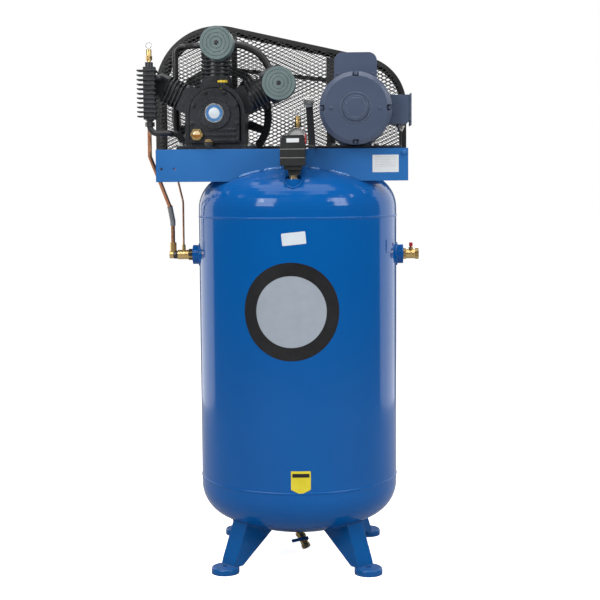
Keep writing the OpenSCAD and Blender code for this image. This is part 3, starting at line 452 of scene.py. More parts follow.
def girth_bead(z, half=0.0042, height=0.0019, pitch=0.0034):
    """A weld cap round the tank: half a sine across, rippled once a pitch along the circle."""
    turns = int(2 * pi * tank_r / pitch) * 4
    angle = np.arange(turns) * 2 * pi / turns
    across = np.linspace(-1, 1, 9)[:, None]
    ripple = 0.86 + 0.14 * np.cos(np.arange(turns) * pi / 2)
    radius = tank_r - 0.0004 + height * np.cos(across * pi / 2) * ripple
    level = z + half * across + 0 * radius
    cap = np.stack([radius * np.cos(angle), radius * np.sin(angle), level], -1)
    root_r = np.full_like(level[:1], tank_r - 0.003)
    root = np.stack([root_r * np.cos(angle), root_r * np.sin(angle), level[:1]], -1)
    verts = np.concatenate([root, cap, root + [0, 0, 2 * half], root])
    return verts.reshape(-1, 3), grid_faces(len(verts), turns)


enamel = finish("tank_enamel", [(0.000, 0.084, 0.315), (0.000, 0.096, 0.350)], (0.09, 0.14), coat=0.1,
                gloss=0.22, grain=120, relief=0.00002, cloud=2.2, edge=0.0015, dust=0.05)
dress(enamel, "tank_shell", "tank_head_top", "tank_head_bottom", "tank_bungs")
girth_gap = 0.0005
girth = piece("girth_welds", *joined([girth_bead(seam_low - girth_gap), girth_bead(seam_high + girth_gap)]),
              enamel, "tank_paint", smooth=60)
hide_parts("weld_seams")

turn = np.linspace(0, 2 * pi, 73)
port_r, bung_r, switch_bung_y = 0.032, 0.0255, -0.258
port_rings = []
for side in (-1, 1):
    y, z = port_r * np.cos(turn), port_r * np.sin(turn)
    port_rings.append(bead(np.stack([side * np.sqrt(tank_r ** 2 - y ** 2), y, port_z + z], -1), 0.0042))
x, y = bung_r * np.cos(turn), switch_bung_y + bung_r * np.sin(turn)
port_rings.append(bead(np.stack([x, y, seam_high + head_rise(np.hypot(x, y))], -1), 0.0040))
x, y = bung_r * np.cos(turn), bung_r * np.sin(turn)
port_rings.append(bead(np.stack([x, y, seam_low - head_rise(np.hypot(x, y))], -1), 0.0035))
piece("bung_welds", *joined(port_rings), enamel, "tank_paint", smooth=60)


# ---- Legs ----
# Four pressed steel legs in the tank's enamel, each with two cheeks that run under the lower head,
# a rounded pad on the floor, and fillet welds where the cheeks meet the tank.
leg_nodes = ["leg_front_left", "leg_front_right", "leg_rear_left", "leg_rear_right"]
leg_enamel = finish("leg_enamel", [(0.000, 0.078, 0.270), (0.002, 0.090, 0.310)], (0.14, 0.22), coat=0.1,
                    gloss=0.25, grain=220, relief=0.00008, cloud=9, edge=0.004, worn=(0.03, 0.05, 0.09),
                    dust=0.10)
dress(leg_enamel, *leg_nodes)
leg_half, leg_inner, leg_outer = 0.032, 0.150, 0.2475
leg_welds = []
for quarter in (45, 135, 225, 315):
    out, aside = radians(quarter), radians(quarter + 90)
    for side in (-1, 1):
        reach = np.linspace(leg_inner, leg_outer, 24)
        x = reach * np.cos(out) + side * leg_half * np.cos(aside)
        y = reach * np.sin(out) + side * leg_half * np.sin(aside)
        leg_welds.append(bead(np.stack([x, y, seam_low - head_rise(np.hypot(x, y))], -1), 0.0036))
piece("leg_welds", *joined(leg_welds), leg_enamel, "tank_paint", smooth=60)


# ---- Tank decals ----
# Thin vinyl on the shell: a plain dark roundel with a blank grey middle, a small pale sticker above it,
# a yellow tag below, and a small blank plate on the right side.
def vinyl(name, tones, rough):
    """Printed vinyl: flat colour with a faint mottle and a smooth film."""
    return finish(name, tones, rough, coat=0.1, grain=1200, relief=0.000004, cloud=30, edge=0.0001, gloss=0.3)


def wrapped(outline, lift, thick=0.0004, rings=14):
    """A patch on the tank: an outline of arc length and height, cut into short steps and shrunk to its middle
    in rings, is laid on the shell at a lift from it. A skirt round it dips under the surface."""
    outline = np.asarray(outline, float)
    outline = np.concatenate([outline, outline[:1]])
    gone = np.concatenate([[0], np.cumsum(np.linalg.norm(np.diff(outline, axis=0), axis=1))])
    steps = np.linspace(0, gone[-1], int(gone[-1] / 0.0025), endpoint=False)
    outline = np.stack([np.interp(steps, gone, outline[:, i]) for i in (0, 1)], -1)
    middle = (outline.max(0) + outline.min(0)) / 2
    share = np.linspace(0, 1, rings)[:, None, None]
    flat = middle + share * (outline - middle)
    angle = flat[..., 0] / tank_r
    r = tank_r + lift
    face = np.stack([r * np.sin(angle), -r * np.cos(angle), flat[..., 1]], -1)
    back = face[-1] * [(r - thick) / r, (r - thick) / r, 1]
    verts = np.concatenate([face.reshape(-1, 3), back])
    faces = [tuple(face) for face in grid_faces(rings + 1, len(outline))]
    return verts, faces


def circle(centre, r, points=96):
    """Points round a circle."""
    angle = np.arange(points) * 2 * pi / points
    return np.stack([centre[0] + r * np.cos(angle), centre[1] + r * np.sin(angle)], -1)


def card(centre, size, corner=0.003, lean=0.0, steps=6):
    """A rectangle with round corners, leaning by an angle."""
    half = np.asarray(size) / 2 - corner
    arcs = []
    for quarter, (sx, sz) in enumerate([(1, 1), (-1, 1), (-1, -1), (1, -1)]):
        angle = (quarter + np.linspace(0, 1, steps)) * pi / 2
        arcs.append(np.stack([sx * half[0] + corner * np.cos(angle),
                              sz * half[1] + corner * np.sin(angle)], -1))
    points = np.concatenate(arcs)
    spin = np.array([[np.cos(lean), -np.sin(lean)], [np.sin(lean), np.cos(lean)]])
    return points @ spin.T + centre


emblem_at, ring_r, middle_r = (-0.007, 0.796), 0.143, 0.104
ring_vinyl = vinyl("ring_vinyl", [(0.010, 0.010, 0.011), (0.015, 0.015, 0.016)], (0.25, 0.35))
pale_vinyl = vinyl("pale_vinyl", [(0.58, 0.63, 0.68), (0.64, 0.69, 0.74)], (0.28, 0.38))
blank_vinyl = vinyl("blank_vinyl", [(0.30, 0.34, 0.39), (0.33, 0.37, 0.42)], (0.28, 0.38))
piece("emblem_ring", *wrapped(circle(emblem_at, ring_r), 0.0003), ring_vinyl, "tank_paint")
piece("emblem_disc", *wrapped(circle(emblem_at, middle_r), 0.0007), blank_vinyl, "tank_paint")
piece("shell_sticker", *wrapped(card((0.002, 1.008), (0.070, 0.036), lean=0.10), 0.0005),
      pale_vinyl, "tank_paint")
yellow_vinyl = vinyl("yellow_vinyl", [(0.66, 0.55, 0.02), (0.74, 0.62, 0.04)], (0.3, 0.4))
tag = np.array([[-0.029, 0.033], [0.029, 0.033], [0.029, -0.022], [0, -0.036], [-0.029, -0.022]])
tag = np.concatenate([np.linspace(a, b, 6, endpoint=False) for a, b in zip(tag, np.roll(tag, -1, 0))])[::-1]
tag_at = (0.018, 0.297)
band_at = (tag_at[0], tag_at[1] + 0.020)
piece("yellow_tag", *wrapped(tag + tag_at, 0.0005), yellow_vinyl, "tank_paint")
piece("yellow_tag_band", *wrapped(card(band_at, (0.050, 0.011), 0.001), 0.0008), ring_vinyl, "tank_paint")
plate_at = (radians(68) * tank_r, 0.977)
piece("side_plate", *wrapped(card(plate_at, (0.060, 0.040), 0.004), 0.0016, 0.003), enamel, "tank_paint")


# ---- Deck ----
# A folded steel plate with deep flanges, stitch welded to the tank's dome, in a lighter blue enamel.
# A plain white sticker lies on the front flange, and the bolts are zinc plated.
deck_low, deck_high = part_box("platform")
deck_enamel = finish("deck_enamel", [(0.018, 0.125, 0.365), (0.026, 0.145, 0.410)], (0.16, 0.26), coat=0.2,
                     gloss=0.35, grain=200, relief=0.00007, cloud=6, edge=0.003, dust=0.08)
zinc = finish("zinc_plate", [(0.52, 0.53, 0.52), (0.68, 0.68, 0.66)], (0.20, 0.36), metallic=1.0,
              grain=1100, relief=0.00001, cloud=60, edge=0.0005)
dress(deck_enamel, "platform")
dress(zinc, "deck_bolts", "interstage_ring", "safety_ring")


def box_piece(low, high, r=0.0006):
    """A slab between two corners whose edges along Y are rounded: a round-cornered outline carried along Y,
    drawn in by the corner radius at both faces."""
    low, high = np.asarray(low, float), np.asarray(high, float)
    middle, size = (low + high) / 2, high - low
    rims = []
    for y, shrink in ((low[1], r), (low[1] + r, 0), (high[1] - r, 0), (high[1], r)):
        outline = card((middle[0], middle[2]), (size[0] - 2 * shrink, size[2] - 2 * shrink), 2 * r, steps=4)
        rims.append(np.stack([outline[:, 0], np.full(len(outline), y), outline[:, 1]], -1))
    count = len(rims[0])
    faces = [tuple(face) for face in grid_faces(4, count)]
    faces += [tuple(range(count))[::-1], tuple(range(3 * count, 4 * count))]
    return np.concatenate(rims), faces


front = float(deck_low[1])
paper = vinyl("paper_sticker", [(0.60, 0.63, 0.65), (0.68, 0.70, 0.71)], (0.45, 0.55))
grey_ink = vinyl("grey_ink", [(0.42, 0.43, 0.45), (0.50, 0.51, 0.53)], (0.5, 0.6))
piece("deck_sticker", *box_piece((0.230, front - 0.0004, 1.197), (0.307, front + 0.001, 1.248), 0.0001),
      paper, "deck_paint")
piece("sticker_rules", *joined([
    box_piece((0.237, front - 0.0006, z), (0.300, front, z + 0.0011), 0.0001)
    for z in np.arange(1.214, 1.243, 0.0048)
]), grey_ink, "deck_paint")

back = float(deck_high[1])
stitches = []
for flange_y, steps, runs in (
    (front - 0.001, 20, [(-0.165, -0.100), (-0.092, -0.034), (0.044, 0.074), (0.104, 0.164)]),
    (back + 0.001, 24, [(-0.230, -0.120), (0.080, 0.200)]),
):
    for x0, x1 in runs:
        x = np.linspace(x0, x1, steps)
        y = np.full(steps, flange_y)
        on_dome = np.stack([x, y, seam_high + head_rise(np.hypot(x, y)) + 0.001], -1)
        stitches.append(bead(on_dome, 0.0062, 0.0062, 0.34))
# The stitch welds get a lighter copy of the deck's blue. The lighter colour is a painted highlight for their
# shine, laid over a real full gloss coat.
stitch_enamel_painted_highlight = finish("weld_enamel_painted_highlight", [(0.03, 0.16, 0.44), (0.10, 0.26, 0.58)], (0.08, 0.14), coat=1.0,
                       grain=300, relief=0.00008, cloud=60, edge=0.001)
piece("deck_stitches", *joined(stitches), stitch_enamel_painted_highlight, "deck_paint", smooth=60)
# Two thin near-black slabs on the front flange are painted shade. They darken the gaps beside the switch,
# where shade falls.
gap_shade = finish("gap_shade", [(0.006, 0.010, 0.020), (0.010, 0.016, 0.030)], (0.7, 0.9), edge=0.0002)
piece("deck_gaps_painted_shade", *joined([
    box_piece((x0, front - 0.0006, 1.2055), (x1, front, 1.2125), 0.0001)
    for x0, x1 in ((-0.072, -0.046), (0.044, 0.068))
]), gap_shade, "deck_paint")
flange_bolt = [(0.0001, -0.0068), (0.0058, -0.0062), (0.0066, -0.0050), (0.0066, -0.0012), (0.0090, -0.0010),
               (0.0090, 0.0005)]
piece("flange_bolt", *lathe(flange_bolt, (0.322, front, 1.254), (0, 1, 0), 24), deck_enamel, "deck_paint")


# ---- Pump ----
# Sand cast iron in satin black: a crankcase with a bolted cover, three finned cylinders in a fan and
# their valve heads. A brass sight glass, a brass drain and a yellow filler cap serve its oil.
iron = finish("black_iron", [(0.010, 0.012, 0.015), (0.024, 0.028, 0.034)], (0.22, 0.36),
              grain=420, relief=0.00035, cloud=14, edge=0.0014, worn=(0.10, 0.10, 0.11), dust=0.10)
dress(iron, "crankcase", "crankcase_cover", "cylinder_centre", "cylinder_left", "cylinder_right",
      "head_centre", "head_left", "head_right", "intercooler", "flywheel", "motor_pulley")
brass = finish("brass", [(0.60, 0.40, 0.14), (0.74, 0.53, 0.24)], (0.20, 0.36), metallic=1.0,
               grain=900, relief=0.00002, cloud=40, edge=0.0008)
dress(brass, "sight_glass", "oil_drain", "relief_valves", "check_valve", "outlet_valve", "drain_valve")
cap_yellow = finish("cap_yellow", [(0.78, 0.55, 0.02), (0.88, 0.64, 0.04)], (0.30, 0.42), coat=0.2,
                    grain=900, relief=0.00002, cloud=30, edge=0.0012)
dress(cap_yellow, "oil_cap")

cap_offset = 0.023
crank_x = float(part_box("oil_cap")[0][0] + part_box("oil_cap")[1][0]) / 2 - cap_offset
crank_z = 1.377
cover_y = float(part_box("crankcase")[0][1]) - 0.010
black_bolt = finish("black_bolt", [(0.03, 0.03, 0.032), (0.06, 0.06, 0.064)], (0.25, 0.4), metallic=0.6,
                    grain=900, relief=0.00002, edge=0.0006, worn=(0.20, 0.20, 0.20))


def hex_bolt(place, axis, r, height, washer=0.0012, turn=0.0):
    """A hexagon head with a chamfered top on a round washer."""
    head = [(r, washer), (r, height - 0.0009), (r * 0.86, height), (r * 0.2, height)]
    return joined([
        lathe([(r * 1.32, 0), (r * 1.32, washer * 0.7), (r * 1.24, washer)], place, axis, 32),
        lathe(head, place, axis, 6, turn),
    ])


bolt_r, boss_y = 0.068, cover_y - 0.005
bolt_at = [(bolt_r * np.cos(radians(a)), bolt_r * np.sin(radians(a))) for a in (20, 65, 115, 160)]
bolt_at += [(-bolt_r, -0.030), (bolt_r, -0.030), (bolt_r, -0.078)]
piece("cover_bolts", *joined([
    hex_bolt((crank_x + x, boss_y, crank_z + z), forward, 0.0048, 0.0055, turn=x * 40) for x, z in bolt_at
]), black_bolt, "pump_black")

badge_blue = vinyl("badge_blue", [(0.05, 0.16, 0.36), (0.08, 0.22, 0.44)], (0.18, 0.28))
badge_at = (crank_x, boss_y, crank_z)
rim = [(0.0288, 0), (0.0288, 0.0030), (0.0280, 0.0036), (0.0262, 0.0036), (0.0254, 0.0030), (0.0254, 0.0012)]
field = [(0.0256, 0.0004), (0.0256, 0.0026), (0.0250, 0.0028), (0.0200, 0.0030), (0.0002, 0.0031)]
disc = [(0.0165, 0.0024), (0.0165, 0.0033), (0.0160, 0.0036), (0.0002, 0.0038)]
piece("badge_rim", *lathe(rim, badge_at, forward, 96), nickel, "zinc")
piece("badge_field", *lathe(field, badge_at, forward, 96), badge_blue, "zinc")
piece("badge_disc", *lathe(disc, badge_at, forward, 96), pale_vinyl, "zinc")

lens_at = (crank_x - 0.053, cover_y - 0.012, crank_z - 0.064)
amber = bpy.data.materials.new("amber_lens")
amber.use_nodes = True
amber_tree = amber.node_tree
lens_shader = amber_tree.nodes["Principled BSDF"]
lens_shader.inputs["Roughness"].default_value = 0.08
lens_shader.inputs["Coat Weight"].default_value = 1.0
oil_place = amber_tree.nodes.new("ShaderNodeTexCoord")
oil_height = amber_tree.nodes.new("ShaderNodeSeparateXYZ")
oil_line = amber_tree.nodes.new("ShaderNodeMapRange")
oil_tone = amber_tree.nodes.new("ShaderNodeMix")
oil_tone.data_type = "RGBA"
oil_tone.inputs["A"].default_value = (0.30, 0.12, 0.015, 1)
oil_tone.inputs["B"].default_value = (0.78, 0.58, 0.30, 1)
oil_line.inputs["From Min"].default_value = lens_at[2] - 0.0005
oil_line.inputs["From Max"].default_value = lens_at[2] + 0.0005
amber_tree.links.new(oil_place.outputs["Object"], oil_height.inputs["Vector"])
amber_tree.links.new(oil_height.outputs["Z"], oil_line.inputs["Value"])
amber_tree.links.new(oil_line.outputs["Result"], oil_tone.inputs["Factor"])
amber_tree.links.new(oil_tone.outputs["Result"], lens_shader.inputs["Base Color"])
dome = [(0.0115, -0.0002), (0.0115, 0.0006), (0.0090, 0.0013), (0.0050, 0.0017), (0.0002, 0.0018)]
plug = [(0.0001, 0.0), (0.0062, 0.0006), (0.0072, 0.0014), (0.0072, 0.0080), (0.0105, 0.0084),
        (0.0105, 0.0130)]
plug_at = (crank_x - 0.011, -0.1965, crank_z - 0.101)
piece("sight_lens", *lathe(dome, lens_at, forward, 48), amber, "brass")
piece("drain_plug", *lathe(plug, plug_at, upward, 32), black_bolt, "brass")


# ---- Intake filters ----
# Pressed steel drums in grey green paint, on necks from the valve heads. Fine rings are rolled into
# the face, round a dark slotted nut.
filter_paint = finish("filter_enamel", [(0.105, 0.150, 0.152), (0.135, 0.185, 0.184)], (0.34, 0.48),
                      coat=0.15, grain=600, relief=0.00004, cloud=20, edge=0.0016,
                      worn=(0.24, 0.28, 0.27), dust=0.10)
dress(filter_paint, "intake_filters")
filter_low, filter_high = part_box("intake_filters")
filter_r = 0.0485
filter_face = float(filter_low[1])
drums = [(float(filter_low[0]) + filter_r, float(filter_high[2]) - filter_r),
         (float(filter_high[0]) - filter_r, float(filter_low[2]) + filter_r)]


def rolled_face(inner=0.0095, waves=15):
    """A drum's face: a shallow cosine ripple in radius, fifteen waves to the rim, with a rolled edge."""
    r = np.linspace(inner, filter_r - 0.0004, 120)
    height = -0.0002 + 0.00028 * np.cos(r / filter_r * 2 * pi * waves)
    return [(inner, -0.0022)] + list(zip(r, height)) + [(filter_r, -0.0024), (filter_r, -0.0052)]


piece("filter_faces", *joined([
    lathe(rolled_face(), (x, filter_face + 0.0012, z), forward, 96) for x, z in drums
]), filter_paint, "filter_paint")
nut_tilt = pi / 3
spin = np.array([[np.cos(nut_tilt), -np.sin(nut_tilt)], [np.sin(nut_tilt), np.cos(nut_tilt)]])
nuts = []
for x, z in drums:
    for side in (-1, 1):
        angle = np.linspace(-pi / 2, pi / 2, 14)
        half = np.stack([side * (0.0007 + 0.0058 * np.cos(angle)), 0.0065 * np.sin(angle)], -1)
        half = (half @ spin.T)[::side]
        levels = ((filter_face + 0.002, 1), (filter_face + 0.0004, 1), (filter_face + 0.0001, 0.93))
        rims = [np.stack([x + half[:, 0] * scale, np.full(14, y), z + half[:, 1] * scale], -1)
                for y, scale in levels]
        faces = [tuple(face) for face in grid_faces(3, 14)] + [tuple(range(14))[::-1], tuple(range(28, 42))]
        nuts.append((np.concatenate(rims), faces))
piece("filter_nuts", *joined(nuts), black_bolt, "zinc")


# ---- Air pipes ----
# Black steel and rubber sleeved pipes between the cylinders, the cooler and the filters' manifold,
# bent from smooth tube, each held by a union nut at its ends.
def swept(route, r, sides=28):
    """A round tube of radius r along a route: a ring square to each point's heading. Both ends close."""
    route = np.asarray(route, float)
    ahead = unit(np.gradient(route, axis=0))
    side = unit(np.cross(ahead[0], [0.3, 0.5, 0.8]))
    sides_of = []
    for heading in ahead:
        side = unit(side - heading * (side @ heading))
        sides_of.append(side)
    side = np.array(sides_of)
    up = np.cross(ahead, side)
    angle = np.arange(sides) * 2 * pi / sides
    radius = np.broadcast_to(np.asarray(r, float), (len(route),))[:, None, None]
    verts = route[:, None] + radius * (np.cos(angle)[None, :, None] * side[:, None]
                                       + np.sin(angle)[None, :, None] * up[:, None])
    last = (len(route) - 1) * sides
    faces = [tuple(face) for face in grid_faces(len(route), sides)]
    faces += [tuple(range(sides))[::-1], tuple(range(last, last + sides))]
    return verts.reshape(-1, 3), faces


bank = radians(63)
black_pipe = finish("black_pipe", [(0.012, 0.012, 0.013), (0.026, 0.026, 0.028)], (0.28, 0.42),
                    grain=500, relief=0.00008, cloud=18, edge=0.001, worn=(0.12, 0.12, 0.12), dust=0.08)
cross_x, cross_y, cross_z = -0.1206, -0.021, 1.589
cross_reach = (crank_x - cross_x) * np.cos(bank) + (cross_z - crank_z) * np.sin(bank) - 0.051
crossover = rounded([
    (crank_x + 0.043, cross_y, cross_z), (cross_x, cross_y, cross_z),
    (cross_x + cross_reach * np.cos(bank), cross_y, cross_z - cross_reach * np.sin(bank))
], 0.110, 24)
low_line = rounded(np.array([
    [-436, -125, 1355], [-436, -125, 1318], [-375, -125, 1318], [-375, 8, 1318], [-375, 8, 1588],
    [-340, 8, 1588], [-310, -14, 1588], [-286, -14, 1588]
]) / 1000, 0.022, 10)
high_line = rounded(np.array([[-418, -125, 1484], [-404, -125, 1484], [-404, -85, 1484]]) / 1000, 0.012, 10)
unions = [
    lathe([(0.0165, 0), (0.0175, 0.0012), (0.0175, 0.0130), (0.0165, 0.0142)],
          (crank_x + 0.046, cross_y, cross_z), (1, 0, 0), 6),
    lathe([(0.0135, 0), (0.0145, 0.001), (0.0145, 0.0125), (0.0135, 0.0135)],
          (-0.436, -0.125, 1.338), upward, 6),
    lathe([(0.0105, 0), (0.0112, 0.001), (0.0112, 0.0085), (0.0105, 0.0095)],
          (-0.404, -0.099, 1.484), (0, 1, 0), 6),
]
tubes = [swept(crossover, 0.011), swept(low_line, 0.009), swept(high_line, 0.009)]
pipes = piece("air_pipes_bent", *joined(tubes + unions), black_pipe, "black_steel")
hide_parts("air_pipes")


# ---- Belt drive ----
# Two rubber vee belts run in the grooves of the flywheel and the motor's pulley. They are moulded
# with slanted flanks and a flat, slightly ribbed back.
wheel_low, wheel_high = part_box("flywheel")
motor_low, motor_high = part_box("motor_pulley")
motor_x, motor_z = float(motor_low[0] + motor_high[0]) / 2, float(motor_low[2] + motor_high[2]) / 2
wheel_r, pulley_r = float(wheel_high[2]) - crank_z, float(motor_high[2]) - motor_z
span = np.array([motor_x - crank_x, motor_z - crank_z])
heading = np.arctan2(span[1], span[0])
spread = np.arccos((wheel_r - pulley_r) / np.linalg.norm(span))


def belt(y):
    """A vee section carried round both wheels: an arc round the big one and an arc round the small one,
    joined by the straight runs between them. The section's pairs are a depth and an offset along Y."""
    steps, big_steps = 250, 150
    big = heading + np.linspace(spread, 2 * pi - spread, big_steps)
    small = heading + np.linspace(-spread, spread, steps - big_steps)
    around = np.concatenate([big, small])
    on_big = np.arange(steps) < big_steps
    centre = np.where(on_big[:, None], [crank_x, crank_z], [motor_x, motor_z])
    reach = np.where(on_big, wheel_r, pulley_r)
    out = np.stack([np.cos(around), np.sin(around)], -1)
    section = [(-0.001, -0.0070), (-0.0018, -0.0076), (-0.012, -0.0052), (-0.012, 0.0052),
               (-0.0018, 0.0076), (-0.001, 0.0070), (-0.001, -0.0070)]
    rims = []
    for depth, offset in section:
        line = centre + (reach + depth)[:, None] * out
        rims.append(np.stack([line[:, 0], np.full(steps, y + offset), line[:, 1]], -1))
    return np.concatenate(rims), grid_faces(len(section), steps)


rim_y = float(wheel_low[1])
belts = piece("vee_belts", *joined([belt(rim_y + 0.013), belt(rim_y + 0.032)]), rubber, "rubber", smooth=30)
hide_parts("drive_belts")


# ---- Belt guard ----
# Black powder coated steel: a deep rim band with a narrow flange at each face, and expanded steel
# mesh over the front and the back, whose flat diamond strands are slit and drawn from one sheet.
powder = finish("powder_black", [(0.010, 0.010, 0.011), (0.020, 0.020, 0.021)], (0.32, 0.48),
                grain=900, relief=0.00006, cloud=10, edge=0.001, worn=(0.09, 0.09, 0.09), dust=0.10)
dress(powder, "guard_rim", "guard_bracket")
guard_low, guard_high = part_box("guard_rim")
crowns = np.array([(-0.249, 1.458, 0.200), (0.184, 1.406, 0.155)])
step_x, step_z, apart_r = crowns[1] - crowns[0]
top_at = np.arctan2(step_z, step_x) + np.arccos(-apart_r / np.hypot(step_x, step_z))
lower_edge, left_edge, ramp = 1.246, 1.205, (-0.020, -0.215)


def guard_line(inset):
    """The guard's outline, drawn in by an inset: an arc round each crown, and the stepped lower edge."""
    arcs = []
    for (x, z, r), angle in zip(crowns, (np.linspace(pi, top_at, 60), np.linspace(top_at, 0, 50))):
        arcs.append(np.stack([x + (r - inset) * np.cos(angle), z + (r - inset) * np.sin(angle)], -1))
    corners = [(crowns[1][0] + crowns[1][2] - inset, lower_edge + inset),
               (ramp[0] + inset / 4, lower_edge + inset), (ramp[1] + inset / 4, left_edge + inset),
               (crowns[0][0] - crowns[0][2] + inset, left_edge + inset)]
    return np.concatenate([*arcs, corners])


def flange(y0, y1, width=0.013):
    """A flat band inside the rim: the outline and the same drawn in by the band's width, given thickness."""
    outer, inner = guard_line(0.0012), guard_line(width)
    rims = [np.stack([line[:, 0], np.full(len(line), y), line[:, 1]], -1)
            for line, y in ((outer, y0), (outer, y1), (inner, y1), (inner, y0), (outer, y0))]
    return np.concatenate(rims), grid_faces(5, len(outer))


def inside(points, line):
    """Which points lie within an outline: an odd number of its edges pass to their right."""
    x, z = points[:, 0, None], points[:, 1, None]
    a, b = line, np.roll(line, -1, 0)
    cuts = (a[:, 1] > z) != (b[:, 1] > z)
    at = a[:, 0] + (z - a[:, 1]) / np.where(b[:, 1] == a[:, 1], 1e-9, b[:, 1] - a[:, 1]) * (b[:, 0] - a[:, 0])
    return (cuts & (x < at)).sum(1) % 2 == 1


def expanded_mesh(y, holes=(), pitch=0.0254, rise=0.0118, strand=0.0021, thick=0.0014):
    """Expanded metal: rows of zigzag strands, each row turned half a diamond against its neighbours so
    that they join at flat bonds. Each stretch between two bends is a closed bar with its section tilted."""
    outline = guard_line(0.006)
    low, high = outline.min(0), outline.max(0)
    rows = np.arange(low[1], high[1], rise / 2)
    bends = np.arange(low[0] - pitch, high[0] + pitch, pitch / 4)
    level = np.tile([1, 1, -1, -1], len(bends))[:len(bends)]
    row, column = np.meshgrid(np.arange(len(rows)), np.arange(len(bends)), indexing="ij")
    shift = np.where(column % 2 == 0, 1, -1) * pitch * 0.055
    x = bends[column] + shift
    z = rows[row] + level[column] * np.where(row % 2 == 0, 1, -1) * (rise / 4 - strand * 0.15)
    a = np.stack([x[:, :-1], z[:, :-1]], -1).reshape(-1, 2)
    b = np.stack([x[:, 1:], z[:, 1:]], -1).reshape(-1, 2)
    keep = inside(a, outline) & inside(b, outline)
    for hole_x, hole_z, hole_r in holes:
        for end in (a, b):
            keep &= np.hypot(end[:, 0] - hole_x, end[:, 1] - hole_z) > hole_r
    a, b = a[keep], b[keep]
    along = unit(b - a)
    a, b = a - along * strand * 0.35, b + along * strand * 0.35
    square = np.stack([-along[:, 1], along[:, 0]], -1)
    tilt = 0.00022 * np.sign(square[:, 1])
    corners = []
    for end in (a, b):
        for across, depth in ((-0.5, -0.5), (0.5, -0.5), (0.5, 0.5), (-0.5, 0.5)):
            flat = end + square * strand * across
            corners.append(np.stack([flat[:, 0], y + thick * depth + 2 * across * tilt, flat[:, 1]], -1))
    verts = np.stack(corners, 1).reshape(-1, 3)
    bar = np.array([[0, 1, 2, 3], [7, 6, 5, 4], [0, 4, 5, 1], [1, 5, 6, 2], [2, 6, 7, 3], [3, 7, 4, 0]])
    faces = (np.arange(len(a))[:, None, None] * 8 + bar).reshape(-1, 4)
    return verts, faces


guard_front, guard_back = float(guard_low[1]), float(guard_high[1])
shaft_holes = [(crank_x, crank_z, 0.046), (motor_x, motor_z, 0.040)]
mesh_front = piece("guard_mesh_front", *expanded_mesh(guard_front + 0.001, shaft_holes),
                   powder, "black_steel", smooth=0)
mesh_rear = piece("guard_mesh_rear", *expanded_mesh(guard_back - 0.001), powder, "black_steel", smooth=0)
flanges = piece("guard_flanges", *joined([
    flange(guard_front + 0.0001, guard_front + 0.0018),
    flange(guard_back - 0.0018, guard_back - 0.0001),
]), powder, "black_steel", smooth=25)
for part in (mesh_front, mesh_rear, flanges):
    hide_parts("guard_panels")
bracket_at = (0.034, 0.0625, 1.417)
washer = [(0.0166, 0.0002), (0.0166, 0.0012), (0.0160, 0.0016), (0.0060, 0.0016)]
bolt_head = [(0.0098, 0.001), (0.0098, 0.0060), (0.0086, 0.0070), (0.0010, 0.0070)]
piece("bracket_washer", *joined([
    lathe(washer, bracket_at, forward, 64),
    lathe(bolt_head, bracket_at, forward, 6, 0.3),
]), zinc, "black_steel")


# ---- Motor ----
# A slate blue electric motor: a rolled steel shell, cast end bells on four through bolts, a
# capacitor cover on top and a terminal box at its side with a screwed lid.
motor_paint = finish("motor_enamel", [(0.044, 0.064, 0.112), (0.058, 0.080, 0.134)], (0.30, 0.42), coat=0.15,
                     grain=380, relief=0.00009, cloud=8, edge=0.0024, worn=(0.16, 0.18, 0.24), dust=0.12)
dress(motor_paint, "motor_shell", "motor_end_bells", "capacitor_cover", "terminal_box")
bell_y = float(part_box("motor_end_bells")[0][1])
big_ring = [(0.0462, 0.0012), (0.0458, -0.0006), (0.0440, -0.0014), (0.0422, -0.0006), (0.0418, 0.0012)]
small_ring = [(0.0300, 0.0012), (0.0296, -0.0006), (0.0280, -0.0012), (0.0264, -0.0006), (0.0260, 0.0012)]
rings = []
for ring, depth in ((big_ring, 0.0042), (small_ring, 0.0004)):
    verts, _ = lathe(ring, (motor_x, bell_y + depth, motor_z), (0, 1, 0), 96)
    rings.append((verts, grid_faces(len(ring), 96)[:, ::-1]))
piece("bell_rings", *joined(rings), motor_paint, "motor_paint", smooth=60)
through_r = 0.0965
through = []
for quarter in range(4):
    angle = quarter * pi / 2
    at = (motor_x + through_r * np.sin(angle), bell_y + 0.0170, motor_z + through_r * np.cos(angle))
    through.append(hex_bolt(at, forward, 0.0052, 0.0060, turn=angle))
piece("through_bolts", *joined(through), motor_paint, "motor_paint")
lid_x = float(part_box("terminal_box")[1][0])
lid_screw = [(0.0040, -0.0010), (0.0040, -0.0006), (0.0030, -0.0001), (0.0002, 0.0)]
piece("lid_screws", *joined([
    lathe(lid_screw, (lid_x + 0.0006, y, z), (1, 0, 0), 24) for y, z in ((-0.193, 1.342), (-0.095, 1.418))
]), zinc, "motor_paint")
cover_low, cover_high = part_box("capacitor_cover")
cover_screw = [(0.0042, -0.0004), (0.0042, 0.0008), (0.0034, 0.0018), (0.0002, 0.0021)]
screw_z = float(cover_high[2]) - 0.062
piece("cover_screws", *joined([
    lathe(cover_screw, (motor_x + side * 0.050, float(cover_low[1]), screw_z), forward, 24)
    for side in (-1, 1)
]), motor_paint, "motor_paint")


